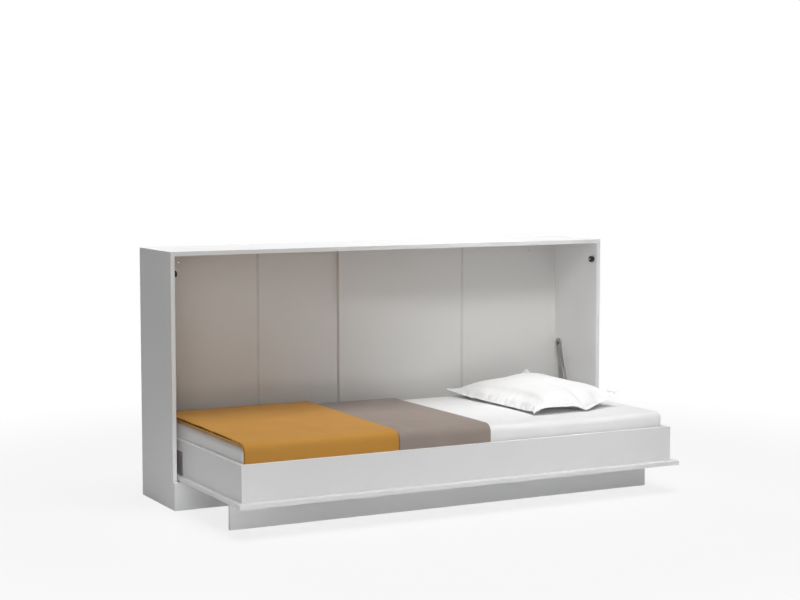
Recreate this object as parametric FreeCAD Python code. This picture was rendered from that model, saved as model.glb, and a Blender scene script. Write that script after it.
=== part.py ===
"""Cabinet bed whose mattress frame folds up sideways into a low cupboard.

X runs along the cupboard, Y to the back wall and Z up.  The origin is on the floor, in the
middle of the open bed's outline.  Every piece is drawn with the bed open, standing on its leg.
"""

import FreeCAD, Part
import math
import os

V = FreeCAD.Vector
OUT = "parts"

# ------------------------------------------------------------------ driving sizes, millimetres
# Boards
BOARD = 18.0                    # cupboard boards, front panel, leg board and plinth
RAIL = 20.0                     # bed frame rails
BACK_THICKNESS = 4.0            # thin back wall
RAIL_HEIGHT = 149.0

# Mattress and bedding
MATTRESS_LENGTH = 1990.0
MATTRESS_WIDTH = 886.0
MATTRESS_THICKNESS = 163.0
MATTRESS_EDGE_RADIUS = 26.0
MATTRESS_CORNER_RADIUS = 45.0
MATTRESS_END_PLAY = 14.0        # frame inner length over the mattress
COVER_ROOM = 9.0                # frame inner depth over the mattress, on each long side
SOFT_CLEARANCE = 0.3
FOLDED_COVER_THICKNESS = 8.4    # the ochre cover lies double
FOLDED_COVER_LENGTH = 700.0     # along the bed
FOLDED_COVER_INSET = 4.0        # in from the mattress end
THIN_COVER_THICKNESS = 4.0
THIN_COVER_LENGTH = 424.0
COVER_TUCK = 60.0               # how far the covers reach below the rail tops
PILLOW_WIDTH = 455.0            # along the bed
PILLOW_LENGTH = 692.0           # across the bed
PILLOW_HEIGHT = 94.0
PILLOW_CENTRE_X = 645.0
PILLOW_SETBACK = -92.0          # behind the cupboard's front edges, so before them
PILLOW_TURN = -3.0              # degrees
PILLOW_DRAW_IN = 22.0           # how far each side curves in between its corners
PILLOW_CORNER_RADIUS = 26.0
PILLOW_SEAM_SHARE = 0.3         # the seam's height as a share of the pillow's
PILLOW_UNDER_INSET = 60.0       # underside in from the seam
PILLOW_CROWN_INSET = 185.0      # crown in from the seam
PILLOW_FLAT_INSET = 190.0       # outlines this far in have straight sides
PILLOW_UNDER_STEPS = (90, 60, 30)           # degrees round the underside's quarter ellipse
PILLOW_CROWN_STEPS = (0, 30, 58, 84)        # degrees round the crown's

# Slatted base
LEDGE_WIDTH = 20.0
LEDGE_HEIGHT = 32.0
LEDGE_END_GAP = 62.0            # leaves room for the corner angles
SLAT_COUNT = 14
SLAT_WIDTH = 60.0
SLAT_THICKNESS = 12.0
SLAT_END_CLEARANCE = 1.0
HOLDER_LENGTH = 30.0
HOLDER_WALL = 3.0
HOLDER_LID = 2.0
HOLDER_PLAY = 0.2

# Fold geometry
MECHANISM_GAP = 30.0            # between the bed frame's ends and the cupboard's sides
PIVOT_RISE = 136.5              # pivot axis over the front panel's lower face
FRAME_REAR_REACH = 176.5        # rear rail's outer face behind the pivot axis
DOOR_LIP = 38.0                 # front panel past the front rail
DOOR_SIDE_GAP = 8.0
TOP_REVEAL = 4.0                # closed front panel under the top panel
BOTTOM_REVEAL = 9.0             # closed front panel over the plinth
PLINTH_CLEARANCE = 4.0          # open front panel over the plinth
BASE_RAISE = 20.0               # base board over the floor
BASE_CLEARANCE = 8.0            # base board under the rear rail's swept corner
REAR_CLEARANCE = 17.0           # bed frame before the centre board
BACK_RECESS = 2.0               # rear rails in from the side panels' rear edges

# Back wall
CENTRE_BOARD_THICKNESS = 28.0
CENTRE_BOARD_WIDTH = 270.0
BACK_JOINT_X = 526.0
JOINT_STRIP_WIDTH = 12.0
JOINT_STRIP_WALL = 1.2
REAR_RAIL_HEIGHT = 100.0
WALL_HOLE_RADIUS = 4.0
WALL_HOLE_X = 900.0

# Leg
LEG_SETBACK = 200.0             # leg's front face behind the front panel's edge
LEG_END_INSET = 39.5            # leg board shorter than the front panel, at each end
LEG_HINGE_X = 800.0
HINGE_LENGTH = 80.0
HINGE_LEAF = 30.0
HINGE_METAL = 2.0
HINGE_KNUCKLE_RADIUS = 3.0
HINGE_PIN_RADIUS = 1.5
HINGE_MIDDLE = 27.0             # middle knuckle's length
HINGE_SIDE_PLAY = 0.5

# Fold fittings
BRACKET_THICKNESS = 6.0
PLATE_THICKNESS = 4.0
PIVOT_PIN_RADIUS = 8.0
BUSH_WALL = 3.0
BUSH_FLANGE_RADIUS = 15.0
BUSH_FLANGE = 3.0
RUNNING_CLEARANCE = 0.05
TOP_STUD_SETBACK = 180.0        # behind the pivot axis
TOP_STUD_RISE = 306.0           # over the pivot axis
BRACKET_HEAD_RADIUS = 24.0
BRACKET_NOSE = 28.0             # foot before the pivot axis
BRACKET_HEEL = 152.0            # foot behind it
BRACKET_FOOT_DROP = 43.0        # foot below the pivot axis
BRACKET_FOOT_RISE = 42.0        # and over it
BRACKET_ARM_FRONT = 69.0        # arm's front edge at the foot, behind the pivot axis
BRACKET_KNEE = 40.0             # how far that edge leans back at the knee
BRACKET_KNEE_RISE = 89.0
BRACKET_BEVEL = 26.0
BRACKET_SCREW_INSET = 14.0
BRACKET_ARM_SCREWS = (0.08, 0.4, 0.74)      # shares of the way from the foot to the head
PLATE_EDGE = 6.0                # bed plate behind the cupboard's front edge
PLATE_HEEL = 98.0               # bed plate behind the pivot axis
PLATE_SHOULDER = 16.0           # bed plate's upper edge below the pivot axis
PLATE_LIFT = 3.0                # bed plate over the front panel
PLATE_SCREW_INSET = 14.0
PLATE_BOSS_RADIUS = 24.0
PLATE_EAR_RADIUS = 14.0
PIN_COLLAR = 4.0                # collar's radius over the pin's
CRANK_SETBACK = 68.5            # strut's foot on the bed, behind the pivot axis
CRANK_RISE = 33.5               # and over it
STUD_RADIUS = 4.0
STUD_HEAD_RADIUS = 7.0
STUD_HEAD_LENGTH = 2.0
STRUT_RADIUS = 7.0
STRUT_WALL = 1.5
STRUT_CAP = 7.0
STRUT_BODY_LENGTH = 170.0
STRUT_ROD_RADIUS = 3.0
STRUT_EYE_RADIUS = 9.0
STRUT_EYE_WIDTH = 8.0
STRUT_NECK_RADIUS = 3.9         # stays within the eye's width
STRUT_NECK_OVERLAP = 3.0        # neck let into the eye
STRUT_EYE_REACH = 14.0          # eye's centre to the strut's end
PISTON_LENGTH = 10.0
PISTON_CLEARANCE = 0.1
SIDE_AIR = 1.0                  # strut beside the bracket
OPEN_PIVOT_GAP = 0.5            # strut's foot beside the crank stud

# Closing stops
STOP_DROP = 94.5                # below the cupboard's top
STOP_RADIUS = 13.5
STOP_LENGTH = 14.0
STOP_EDGE_RADIUS = 2.0
STOP_BASE_RADIUS = 11.5
STOP_BASE_LENGTH = 4.0
STOP_BOLT_RADIUS = 3.0
STOP_HEAD_RADIUS = 6.0
STOP_HEAD_LENGTH = 2.5
STOP_SCREW_DEPTH = 12.0

# Fasteners
DOWEL_RADIUS = 4.0
DOWEL_LENGTH = 30.0
DOWEL_IN_SIDE = 10.0
CAM_RADIUS = 7.5
CAM_DEPTH = 13.5
CAM_BOLT_RADIUS = 3.5
CAM_REACH = 34.0                # cam's centre in from the board's end
DOWEL_INSET = 46.0              # in from the boards' edges
CAM_INSET = 100.0
PLINTH_DOWEL_COUNT = 5
BACK_SCREW_INSET = 50.0
BACK_SCREW_COUNT = 8
SCREW_RADIUS = 2.0
SCREW_HEAD_RADIUS = 4.0
SCREW_HEAD_HEIGHT = 2.0
SCREW_DEPTH = 12.0              # thread in the wood
HINGE_SCREW_RADIUS = 1.5
HINGE_SCREW_HEAD_RADIUS = 3.0
HINGE_SCREW_DEPTH = 9.0
HINGE_SCREW_INSET = 11.0
ANGLE_LEG = 50.0
ANGLE_HEIGHT = 24.0
ANGLE_METAL = 2.5
ANGLE_SCREW_INSET = 15.0
LEDGE_SCREW_RADIUS = 2.25
LEDGE_SCREW_IN_DOOR = 12.0
LEDGE_SCREW_COUNT = 6
LEDGE_SCREW_PITCH = 16.0        # between an upright screw and the level one beside it

# ------------------------------------------------------------------ places worked out from them
FRAME_INNER_LENGTH = MATTRESS_LENGTH + MATTRESS_END_PLAY
FRAME_LENGTH = FRAME_INNER_LENGTH + 2 * RAIL
FRAME_INNER_DEPTH = MATTRESS_WIDTH + 2 * COVER_ROOM
FRAME_DEPTH = FRAME_INNER_DEPTH + 2 * RAIL
INNER_WIDTH = FRAME_LENGTH + 2 * MECHANISM_GAP
CABINET_WIDTH = INNER_WIDTH + 2 * BOARD
HALF_INNER = INNER_WIDTH / 2
HALF_WIDTH = CABINET_WIDTH / 2
HALF_FRAME = FRAME_LENGTH / 2
HALF_FRAME_INNER = FRAME_INNER_LENGTH / 2

SWEEP_RADIUS = math.hypot(FRAME_REAR_REACH, PIVOT_RISE - BOARD)
BASE_TOP = BASE_RAISE + BOARD
PIVOT_Z = BASE_TOP + BASE_CLEARANCE + SWEEP_RADIUS
DOOR_LOW = PIVOT_Z - PIVOT_RISE
DOOR_HIGH = DOOR_LOW + BOARD
PLINTH_HEIGHT = DOOR_LOW - PLINTH_CLEARANCE
RAIL_TOP = DOOR_HIGH + RAIL_HEIGHT

DOOR_FRONT_REACH = FRAME_DEPTH - FRAME_REAR_REACH + DOOR_LIP      # before the pivot axis
DOOR_REAR_REACH = PIVOT_Z - PLINTH_HEIGHT - BOTTOM_REVEAL         # behind the pivot axis
OPEN_REACH = DOOR_FRONT_REACH - PIVOT_RISE                        # before the side panels
CABINET_DEPTH = (PIVOT_RISE + FRAME_REAR_REACH + REAR_CLEARANCE + CENTRE_BOARD_THICKNESS
                 + BACK_THICKNESS + BOARD + BACK_RECESS)
CABINET_HEIGHT = PIVOT_Z + DOOR_FRONT_REACH + TOP_REVEAL + BOARD
TOP_LOW = CABINET_HEIGHT - BOARD

FRONT = (OPEN_REACH - CABINET_DEPTH) / 2       # side panels' front edges
REAR = FRONT + CABINET_DEPTH
PIVOT_Y = FRONT + PIVOT_RISE
DOOR_FRONT = PIVOT_Y - DOOR_FRONT_REACH
DOOR_REAR = PIVOT_Y + DOOR_REAR_REACH
FRAME_REAR = PIVOT_Y + FRAME_REAR_REACH
FRAME_FRONT = FRAME_REAR - FRAME_DEPTH
HALF_DOOR = HALF_INNER - DOOR_SIDE_GAP
BACK_REAR = REAR - BACK_RECESS - BOARD
BACK_FACE = BACK_REAR - BACK_THICKNESS

LEDGE_TOP = DOOR_HIGH + LEDGE_HEIGHT
SLAT_LOW = LEDGE_TOP + HOLDER_WALL
SLAT_TOP = SLAT_LOW + SLAT_THICKNESS
MATTRESS_LOW = SLAT_TOP + HOLDER_PLAY + HOLDER_LID
MATTRESS_TOP = MATTRESS_LOW + MATTRESS_THICKNESS
MATTRESS_LEFT = -HALF_FRAME_INNER + SOFT_CLEARANCE
MATTRESS_RIGHT = MATTRESS_LEFT + MATTRESS_LENGTH
MATTRESS_FRONT = FRAME_FRONT + RAIL + COVER_ROOM
MATTRESS_REAR = MATTRESS_FRONT + MATTRESS_WIDTH
FOLDED_COVER_LEFT = MATTRESS_LEFT + FOLDED_COVER_INSET
FOLDED_COVER_RIGHT = FOLDED_COVER_LEFT + FOLDED_COVER_LENGTH
THIN_COVER_LEFT = FOLDED_COVER_RIGHT + SOFT_CLEARANCE
THIN_COVER_RIGHT = THIN_COVER_LEFT + THIN_COVER_LENGTH

LEG_FRONT = DOOR_FRONT + LEG_SETBACK
LEG_REAR = LEG_FRONT + BOARD
HALF_LEG = HALF_DOOR - LEG_END_INSET
LEG_AXIS_Y = LEG_REAR + HINGE_KNUCKLE_RADIUS
LEG_AXIS_Z = DOOR_LOW - HINGE_KNUCKLE_RADIUS

BRACKET_FACE = HALF_INNER - BRACKET_THICKNESS              # bracket's face towards the bed
PLATE_FACE = HALF_FRAME + PLATE_THICKNESS                  # bed plate's face towards the side
STRUT_X = BRACKET_FACE - SIDE_AIR - STRUT_RADIUS
TOP_STUD = (PIVOT_Y + TOP_STUD_SETBACK, PIVOT_Z + TOP_STUD_RISE)
CRANK = (PIVOT_Y + CRANK_SETBACK, PIVOT_Z + CRANK_RISE)
CRANK_CLOSED = (PIVOT_Y + CRANK_RISE, PIVOT_Z - CRANK_SETBACK)
STRUT_OPEN = math.dist(TOP_STUD, CRANK)
STRUT_CLOSED = math.dist(TOP_STUD, CRANK_CLOSED)
STOP_Y = FRONT + BOARD + STOP_RADIUS + SOFT_CLEARANCE
STOP_Z = CABINET_HEIGHT - STOP_DROP


# ------------------------------------------------------------------ plain shapes
def block(x0, x1, y0, y1, z0, z1):
    """Box between two corners."""
    return Part.makeBox(x1 - x0, y1 - y0, z1 - z0, V(x0, y0, z0))


def rod(radius, start, end):
    """Round bar from one point to another."""
    along = V(*end) - V(*start)
    return Part.makeCylinder(radius, along.Length, V(*start), along)


def ring(outer, inner, start, end):
    """Round tube from one point to another."""
    return rod(outer, start, end).cut(rod(inner, start, end))


def plate_yz(points, x0, x1):
    """Flat plate with its outline in the Y-Z plane."""
    corners = [V(x0, y, z) for y, z in points]
    face = Part.Face(Part.makePolygon(corners + corners[:1]))
    return face.extrude(V(x1 - x0, 0, 0))


def joined(shapes):
    """One clean solid from touching or crossing shapes."""
    whole = shapes[0].fuse(shapes[1:])
    return whole.removeSplitter()


def group(shapes):
    """Several separate solids kept together."""
    solids = [solid for shape in shapes for solid in shape.Solids]
    return Part.makeCompound(solids)


def cut_all(shape, tools):
    """Shape with every tool taken out of it."""
    return shape.cut(tools) if tools else shape


def mirrored(shape):
    """The same piece on the other side of the bed."""
    return shape.mirror(V(0, 0, 0), V(1, 0, 0))


def spread(reach, count):
    """Evenly spaced places from -reach to reach."""
    return [reach * (2 * index / (count - 1) - 1) for index in range(count)]


def countersunk(radius, head_radius, tip, head):
    """Flat-headed screw from its tip to the face of its head."""
    along = V(*tip) - V(*head)
    cone = Part.makeCone(head_radius, radius, SCREW_HEAD_HEIGHT, V(*head), along)
    return joined([cone, rod(radius, head, tip)])


# ------------------------------------------------------------------ fastener places
def board_joint_places():
    """Y places of the dowels and of the cams in the top and base boards' ends."""
    dowels = (FRONT + DOWEL_INSET, REAR - DOWEL_INSET)
    cams = (FRONT + CAM_INSET, REAR - CAM_INSET)
    return dowels, cams


def joint_dowel(side, y, z):
    """Dowel between a side panel and the end of a board."""
    outer = side * (HALF_INNER + DOWEL_IN_SIDE)
    return rod(DOWEL_RADIUS, (outer, y, z), (outer - side * DOWEL_LENGTH, y, z))


def joint_cam(side, y, z_face):
    """Cam housing let into a board's lower face, near its end."""
    x = side * (HALF_INNER - CAM_REACH)
    return rod(CAM_RADIUS, (x, y, z_face), (x, y, z_face + CAM_DEPTH))


def joint_cam_bolt(side, y, z):
    """Cam bolt from a side panel to the middle of the cam housing."""
    outer = side * (HALF_INNER + DOWEL_IN_SIDE)
    inner = side * (HALF_INNER - CAM_REACH)
    return rod(CAM_BOLT_RADIUS, (outer, y, z), (inner, y, z))


def level_of(low):
    """Middle of a cupboard board that starts at a height."""
    return low + BOARD / 2


def cabinet_dowels():
    dowel_places, _ = board_joint_places()
    levels = (level_of(TOP_LOW), level_of(BASE_RAISE))
    return [joint_dowel(side, y, z) for side in (-1, 1) for y in dowel_places for z in levels]


def cabinet_cams():
    _, cam_places = board_joint_places()
    return [joint_cam(side, y, low).cut(joint_cam_bolt(side, y, level_of(low)))
            for side in (-1, 1) for y in cam_places for low in (TOP_LOW, BASE_RAISE)]


def cabinet_cam_bolts():
    _, cam_places = board_joint_places()
    levels = (level_of(TOP_LOW), level_of(BASE_RAISE))
    return [joint_cam_bolt(side, y, z) for side in (-1, 1) for y in cam_places for z in levels]


def plinth_dowels():
    """Dowels between the plinth board and the base board's front edge."""
    z = level_of(BASE_RAISE)
    start = FRONT - BOARD / 2
    places = spread(HALF_INNER - DOWEL_INSET, PLINTH_DOWEL_COUNT)
    return [rod(DOWEL_RADIUS, (x, start, z), (x, start + DOWEL_LENGTH, z)) for x in places]


def rear_rail_levels():
    """Heights of the two rear rails' middles."""
    return BASE_TOP + REAR_RAIL_HEIGHT / 2, TOP_LOW - REAR_RAIL_HEIGHT / 2


def rear_rail_screws():
    """Screws that hold the thin back wall to the rails behind it."""
    return [countersunk(HINGE_SCREW_RADIUS, HINGE_SCREW_HEAD_RADIUS,
                        (x, BACK_REAR + SCREW_DEPTH, z), (x, BACK_FACE, z))
            for z in rear_rail_levels() for x in spread(HALF_INNER - BACK_SCREW_INSET, BACK_SCREW_COUNT)]


def wall_holes():
    """Clearance holes for the screws that tie the cupboard to a wall."""
    return [rod(WALL_HOLE_RADIUS, (x, BACK_FACE - 1, z), (x, REAR, z))
            for x in (-WALL_HOLE_X, WALL_HOLE_X) for z in rear_rail_levels()]


# ------------------------------------------------------------------ cupboard
def side_panel():
    """Right side panel, bored for the dowels, cam bolts, bracket screws and stop bolt."""
    board = block(HALF_INNER, HALF_WIDTH, FRONT, REAR, 0, CABINET_HEIGHT)
    return cut_all(board, cabinet_dowels() + cabinet_cam_bolts() + bracket_screws() + [stop_bolt()])


def top_panel():
    board = block(-HALF_INNER, HALF_INNER, FRONT, REAR, TOP_LOW, CABINET_HEIGHT)
    return cut_all(board, cabinet_dowels() + cabinet_cam_bolts() + cabinet_cams())


def base_board():
    board = block(-HALF_INNER, HALF_INNER, FRONT, REAR - BACK_RECESS, BASE_RAISE, BASE_TOP)
    return cut_all(board, cabinet_dowels() + cabinet_cam_bolts() + cabinet_cams() + plinth_dowels())


def plinth_board():
    board = block(-HALF_WIDTH, HALF_WIDTH, FRONT - BOARD, FRONT, 0, PLINTH_HEIGHT)
    return cut_all(board, plinth_dowels())


def back_panel(x0, x1):
    """Thin back wall panel between two X places."""
    sheet = block(x0, x1, BACK_FACE, BACK_REAR, BASE_TOP, TOP_LOW)
    return cut_all(sheet, wall_holes() + rear_rail_screws())


def rear_rail(low):
    """Board behind the back wall that takes the wall screws."""
    board = block(-HALF_INNER, HALF_INNER, BACK_REAR, BACK_REAR + BOARD, low, low + REAR_RAIL_HEIGHT)
    return cut_all(board, wall_holes() + rear_rail_screws())


def back_joint_strip(x):
    """H-shaped strip that joins two thin back panels."""
    half = JOINT_STRIP_WIDTH / 2
    web = JOINT_STRIP_WALL / 2
    front = block(x - half, x + half, BACK_FACE - JOINT_STRIP_WALL, BACK_FACE, BASE_TOP, TOP_LOW)
    middle = block(x - web, x + web, BACK_FACE, BACK_REAR, BASE_TOP, TOP_LOW)
    rear = block(x - half, x + half, BACK_REAR, BACK_REAR + JOINT_STRIP_WALL,
                 BASE_TOP + REAR_RAIL_HEIGHT, TOP_LOW - REAR_RAIL_HEIGHT)
    return joined([front, middle, rear])


def back_centre_board():
    """Upright board over the middle joint of the back wall."""
    half = CENTRE_BOARD_WIDTH / 2
    return block(-half, half, BACK_FACE - CENTRE_BOARD_THICKNESS, BACK_FACE, BASE_TOP, TOP_LOW)


# ------------------------------------------------------------------ fold fittings, right side
def bracket_screw_places():
    """Y-Z places of the bracket's screws, counted from the pivot axis."""
    foot_z = PIVOT_Z - BRACKET_FOOT_DROP + BRACKET_SCREW_INSET
    foot = [(PIVOT_Y + reach, foot_z) for reach in (BRACKET_NOSE, BRACKET_HEEL - BRACKET_SCREW_INSET)]
    elbow_y = PIVOT_Y + (BRACKET_HEEL + BRACKET_ARM_FRONT) / 2
    head_y, head_z = TOP_STUD
    elbow_z = PIVOT_Z + BRACKET_FOOT_RISE
    arm = [(elbow_y + (head_y - elbow_y) * share, elbow_z + (head_z - elbow_z) * share)
           for share in BRACKET_ARM_SCREWS]
    return foot + arm


def bracket_screws():
    """Both sides' bracket screws, each with its head in the bracket's face."""
    return [countersunk(SCREW_RADIUS, SCREW_HEAD_RADIUS,
                        (side * (HALF_INNER + SCREW_DEPTH), y, z), (side * BRACKET_FACE, y, z))
            for side in (-1, 1) for y, z in bracket_screw_places()]


def side_bracket():
    """Steel bracket on the side panel: pivot at its foot, strut stud at its head."""
    head_y, head_z = TOP_STUD
    low, high = PIVOT_Z - BRACKET_FOOT_DROP, PIVOT_Z + BRACKET_FOOT_RISE
    nose, heel = PIVOT_Y - BRACKET_NOSE, PIVOT_Y + BRACKET_HEEL
    bevel = BRACKET_BEVEL
    outline = [
        (head_y - BRACKET_HEAD_RADIUS, head_z), (head_y + BRACKET_HEAD_RADIUS, head_z),
        (heel, low + 2 * bevel), (heel - bevel / 2, low), (nose + bevel, low), (nose, low + bevel),
        (nose, high - bevel), (nose + bevel, high), (PIVOT_Y + BRACKET_ARM_FRONT, high),
        (PIVOT_Y + BRACKET_ARM_FRONT + BRACKET_KNEE, high + BRACKET_KNEE_RISE)]
    sheet = plate_yz(outline, BRACKET_FACE, HALF_INNER)
    head = rod(BRACKET_HEAD_RADIUS, (BRACKET_FACE, head_y, head_z), (HALF_INNER, head_y, head_z))
    bush_hole = rod(PIVOT_PIN_RADIUS + RUNNING_CLEARANCE + BUSH_WALL,
                    (BRACKET_FACE, PIVOT_Y, PIVOT_Z), (HALF_INNER, PIVOT_Y, PIVOT_Z))
    stud_hole = rod(STUD_RADIUS, (BRACKET_FACE, head_y, head_z), (HALF_INNER, head_y, head_z))
    return cut_all(joined([sheet, head]), [bush_hole, stud_hole] + bracket_screws())


def pivot_bush():
    """Flanged bush in the bracket's foot."""
    inner = PIVOT_PIN_RADIUS + RUNNING_CLEARANCE
    sleeve = ring(inner + BUSH_WALL, inner, (BRACKET_FACE, PIVOT_Y, PIVOT_Z), (HALF_INNER, PIVOT_Y, PIVOT_Z))
    flange = ring(BUSH_FLANGE_RADIUS, inner,
                  (BRACKET_FACE - BUSH_FLANGE, PIVOT_Y, PIVOT_Z), (BRACKET_FACE, PIVOT_Y, PIVOT_Z))
    return joined([sleeve, flange])


def strut_top_stud():
    """Stud that carries the strut's upper eye, with a shoulder and a head."""
    y, z = TOP_STUD
    eye_outer = STRUT_X + STRUT_EYE_WIDTH / 2 + RUNNING_CLEARANCE
    eye_inner = STRUT_X - STRUT_EYE_WIDTH / 2 - RUNNING_CLEARANCE
    end = eye_inner - STUD_HEAD_LENGTH
    pin = rod(STUD_RADIUS, (end, y, z), (HALF_INNER, y, z))
    shoulder = rod(STRUT_EYE_RADIUS, (eye_outer, y, z), (BRACKET_FACE, y, z))
    head = rod(STUD_HEAD_RADIUS, (end, y, z), (eye_inner, y, z))
    return joined([pin, shoulder, head])


def plate_screw_places():
    """Y-Z places of the bed plate's screws."""
    front = FRONT + PLATE_EDGE + PLATE_SCREW_INSET
    rear = PIVOT_Y + PLATE_HEEL - PLATE_SCREW_INSET
    low = DOOR_HIGH + PLATE_LIFT + PLATE_SCREW_INSET
    high = PIVOT_Z - PLATE_SHOULDER - PLATE_SCREW_INSET
    return [(y, z) for y in (front, (front + PIVOT_Y) / 2, rear) for z in (low, high)]


def plate_screws():
    """Both ends' bed plate screws, each with its head in the plate's face."""
    return [countersunk(SCREW_RADIUS, SCREW_HEAD_RADIUS,
                        (side * (HALF_FRAME - SCREW_DEPTH), y, z), (side * PLATE_FACE, y, z))
            for side in (-1, 1) for y, z in plate_screw_places()]


def pivot_plate():
    """Steel plate on the bed frame's end that holds the pivot pin and the strut's foot."""
    crank_y, crank_z = CRANK
    low, shoulder = DOOR_HIGH + PLATE_LIFT, PIVOT_Z - PLATE_SHOULDER
    front, heel = FRONT + PLATE_EDGE, PIVOT_Y + PLATE_HEEL
    boss_side = PLATE_BOSS_RADIUS * 0.9
    ear_side = PLATE_EAR_RADIUS * 0.9
    outline = [
        (front, low), (heel, low), (heel, shoulder), (crank_y + ear_side, crank_z),
        (crank_y - ear_side, crank_z), (PIVOT_Y + boss_side, PIVOT_Z), (PIVOT_Y - boss_side, PIVOT_Z),
        (PIVOT_Y - 2 * boss_side, shoulder), (front, shoulder)]
    sheet = plate_yz(outline, HALF_FRAME, PLATE_FACE)
    boss = rod(PLATE_BOSS_RADIUS, (HALF_FRAME, PIVOT_Y, PIVOT_Z), (PLATE_FACE, PIVOT_Y, PIVOT_Z))
    ear = rod(PLATE_EAR_RADIUS, (HALF_FRAME, crank_y, crank_z), (PLATE_FACE, crank_y, crank_z))
    pin_hole = rod(PIVOT_PIN_RADIUS, (HALF_FRAME, PIVOT_Y, PIVOT_Z), (PLATE_FACE, PIVOT_Y, PIVOT_Z))
    stud_hole = rod(STUD_RADIUS, (HALF_FRAME, crank_y, crank_z), (PLATE_FACE, crank_y, crank_z))
    return cut_all(joined([sheet, boss, ear]), [pin_hole, stud_hole] + plate_screws())


def pivot_pin():
    """Pin on which the bed turns, with a collar beside the plate."""
    y, z = PIVOT_Y, PIVOT_Z
    collar_end = BRACKET_FACE - BUSH_FLANGE - SOFT_CLEARANCE
    shaft = rod(PIVOT_PIN_RADIUS, (HALF_FRAME, y, z), (HALF_INNER - SOFT_CLEARANCE, y, z))
    collar = rod(PIVOT_PIN_RADIUS + PIN_COLLAR, (PLATE_FACE, y, z), (collar_end, y, z))
    return joined([shaft, collar])


def crank_stud():
    """Stud on the bed plate at the strut's foot, ending just beside the strut's eye."""
    y, z = CRANK
    end = STRUT_X - STRUT_EYE_WIDTH / 2 - OPEN_PIVOT_GAP
    shaft = rod(STUD_RADIUS, (HALF_FRAME, y, z), (PLATE_FACE, y, z))
    head = rod(STUD_HEAD_RADIUS, (PLATE_FACE, y, z), (end, y, z))
    return joined([shaft, head])


def along_strut(distance):
    """Point on the open strut's line, counted from its top stud."""
    (y0, z0), (y1, z1) = TOP_STUD, CRANK
    share = distance / STRUT_OPEN
    return (STRUT_X, y0 + (y1 - y0) * share, z0 + (z1 - z0) * share)


def strut_eye(distance):
    """Eye disc, without its bore, at a place along the strut."""
    x, y, z = along_strut(distance)
    half = STRUT_EYE_WIDTH / 2
    return rod(STRUT_EYE_RADIUS, (x - half, y, z), (x + half, y, z))


def eye_bore(distance):
    x, y, z = along_strut(distance)
    half = STRUT_EYE_WIDTH / 2
    return rod(STUD_RADIUS + RUNNING_CLEARANCE, (x - half, y, z), (x + half, y, z))


def strut_rod():
    """Upper eye, rod and piston."""
    body_top = STRUT_OPEN - STRUT_EYE_REACH - STRUT_BODY_LENGTH
    piston_end = body_top + STRUT_CAP + (STRUT_CLOSED - STRUT_OPEN) + 2 * PISTON_LENGTH
    neck_start = STRUT_EYE_RADIUS - STRUT_NECK_OVERLAP
    shaft = rod(STRUT_ROD_RADIUS, along_strut(neck_start), along_strut(piston_end))
    piston = rod(STRUT_RADIUS - STRUT_WALL - PISTON_CLEARANCE,
                 along_strut(piston_end - PISTON_LENGTH), along_strut(piston_end))
    collar = rod(STRUT_NECK_RADIUS, along_strut(neck_start), along_strut(STRUT_EYE_REACH))
    return joined([strut_eye(0), shaft, piston, collar]).cut(eye_bore(0))


def strut_cylinder():
    """Gas cylinder with its lower eye."""
    low = STRUT_OPEN - STRUT_EYE_REACH
    high = low - STRUT_BODY_LENGTH
    body = rod(STRUT_RADIUS, along_strut(high), along_strut(low))
    chamber = rod(STRUT_RADIUS - STRUT_WALL, along_strut(high + STRUT_CAP), along_strut(low - STRUT_CAP))
    gland = rod(STRUT_ROD_RADIUS + RUNNING_CLEARANCE, along_strut(high), along_strut(high + STRUT_CAP))
    neck_end = STRUT_OPEN - STRUT_EYE_RADIUS + STRUT_NECK_OVERLAP
    neck = rod(STRUT_NECK_RADIUS, along_strut(low), along_strut(neck_end))
    return joined([body, neck, strut_eye(STRUT_OPEN)]).cut([chamber, gland, eye_bore(STRUT_OPEN)])


def stop_bolt():
    """Bolt of the closing stop, screwed into the side panel."""
    inner = HALF_INNER - STOP_BASE_LENGTH - STOP_LENGTH
    shank = rod(STOP_BOLT_RADIUS, (inner, STOP_Y, STOP_Z), (HALF_INNER + STOP_SCREW_DEPTH, STOP_Y, STOP_Z))
    head = rod(STOP_HEAD_RADIUS, (inner - STOP_HEAD_LENGTH, STOP_Y, STOP_Z), (inner, STOP_Y, STOP_Z))
    return joined([shank, head])


def stop_roller():
    """Rubber buffer that the closed front panel rests against."""
    split = HALF_INNER - STOP_BASE_LENGTH
    base = rod(STOP_BASE_RADIUS, (split, STOP_Y, STOP_Z), (HALF_INNER, STOP_Y, STOP_Z))
    wheel = rod(STOP_RADIUS, (split - STOP_LENGTH, STOP_Y, STOP_Z), (split, STOP_Y, STOP_Z))
    edges = [edge for edge in wheel.Edges if edge.Curve.TypeId == "Part::GeomCircle"]
    return joined([wheel.makeFillet(STOP_EDGE_RADIUS, edges), base]).cut(stop_bolt())


# ------------------------------------------------------------------ bed frame
def long_rail(outer_y, inner_y, screws):
    """Front or rear rail with mitred ends."""
    corners = [V(-HALF_FRAME, outer_y, DOOR_HIGH), V(HALF_FRAME, outer_y, DOOR_HIGH),
               V(HALF_FRAME_INNER, inner_y, DOOR_HIGH), V(-HALF_FRAME_INNER, inner_y, DOOR_HIGH)]
    face = Part.Face(Part.makePolygon(corners + corners[:1]))
    return cut_all(face.extrude(V(0, 0, RAIL_HEIGHT)), screws)


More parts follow.
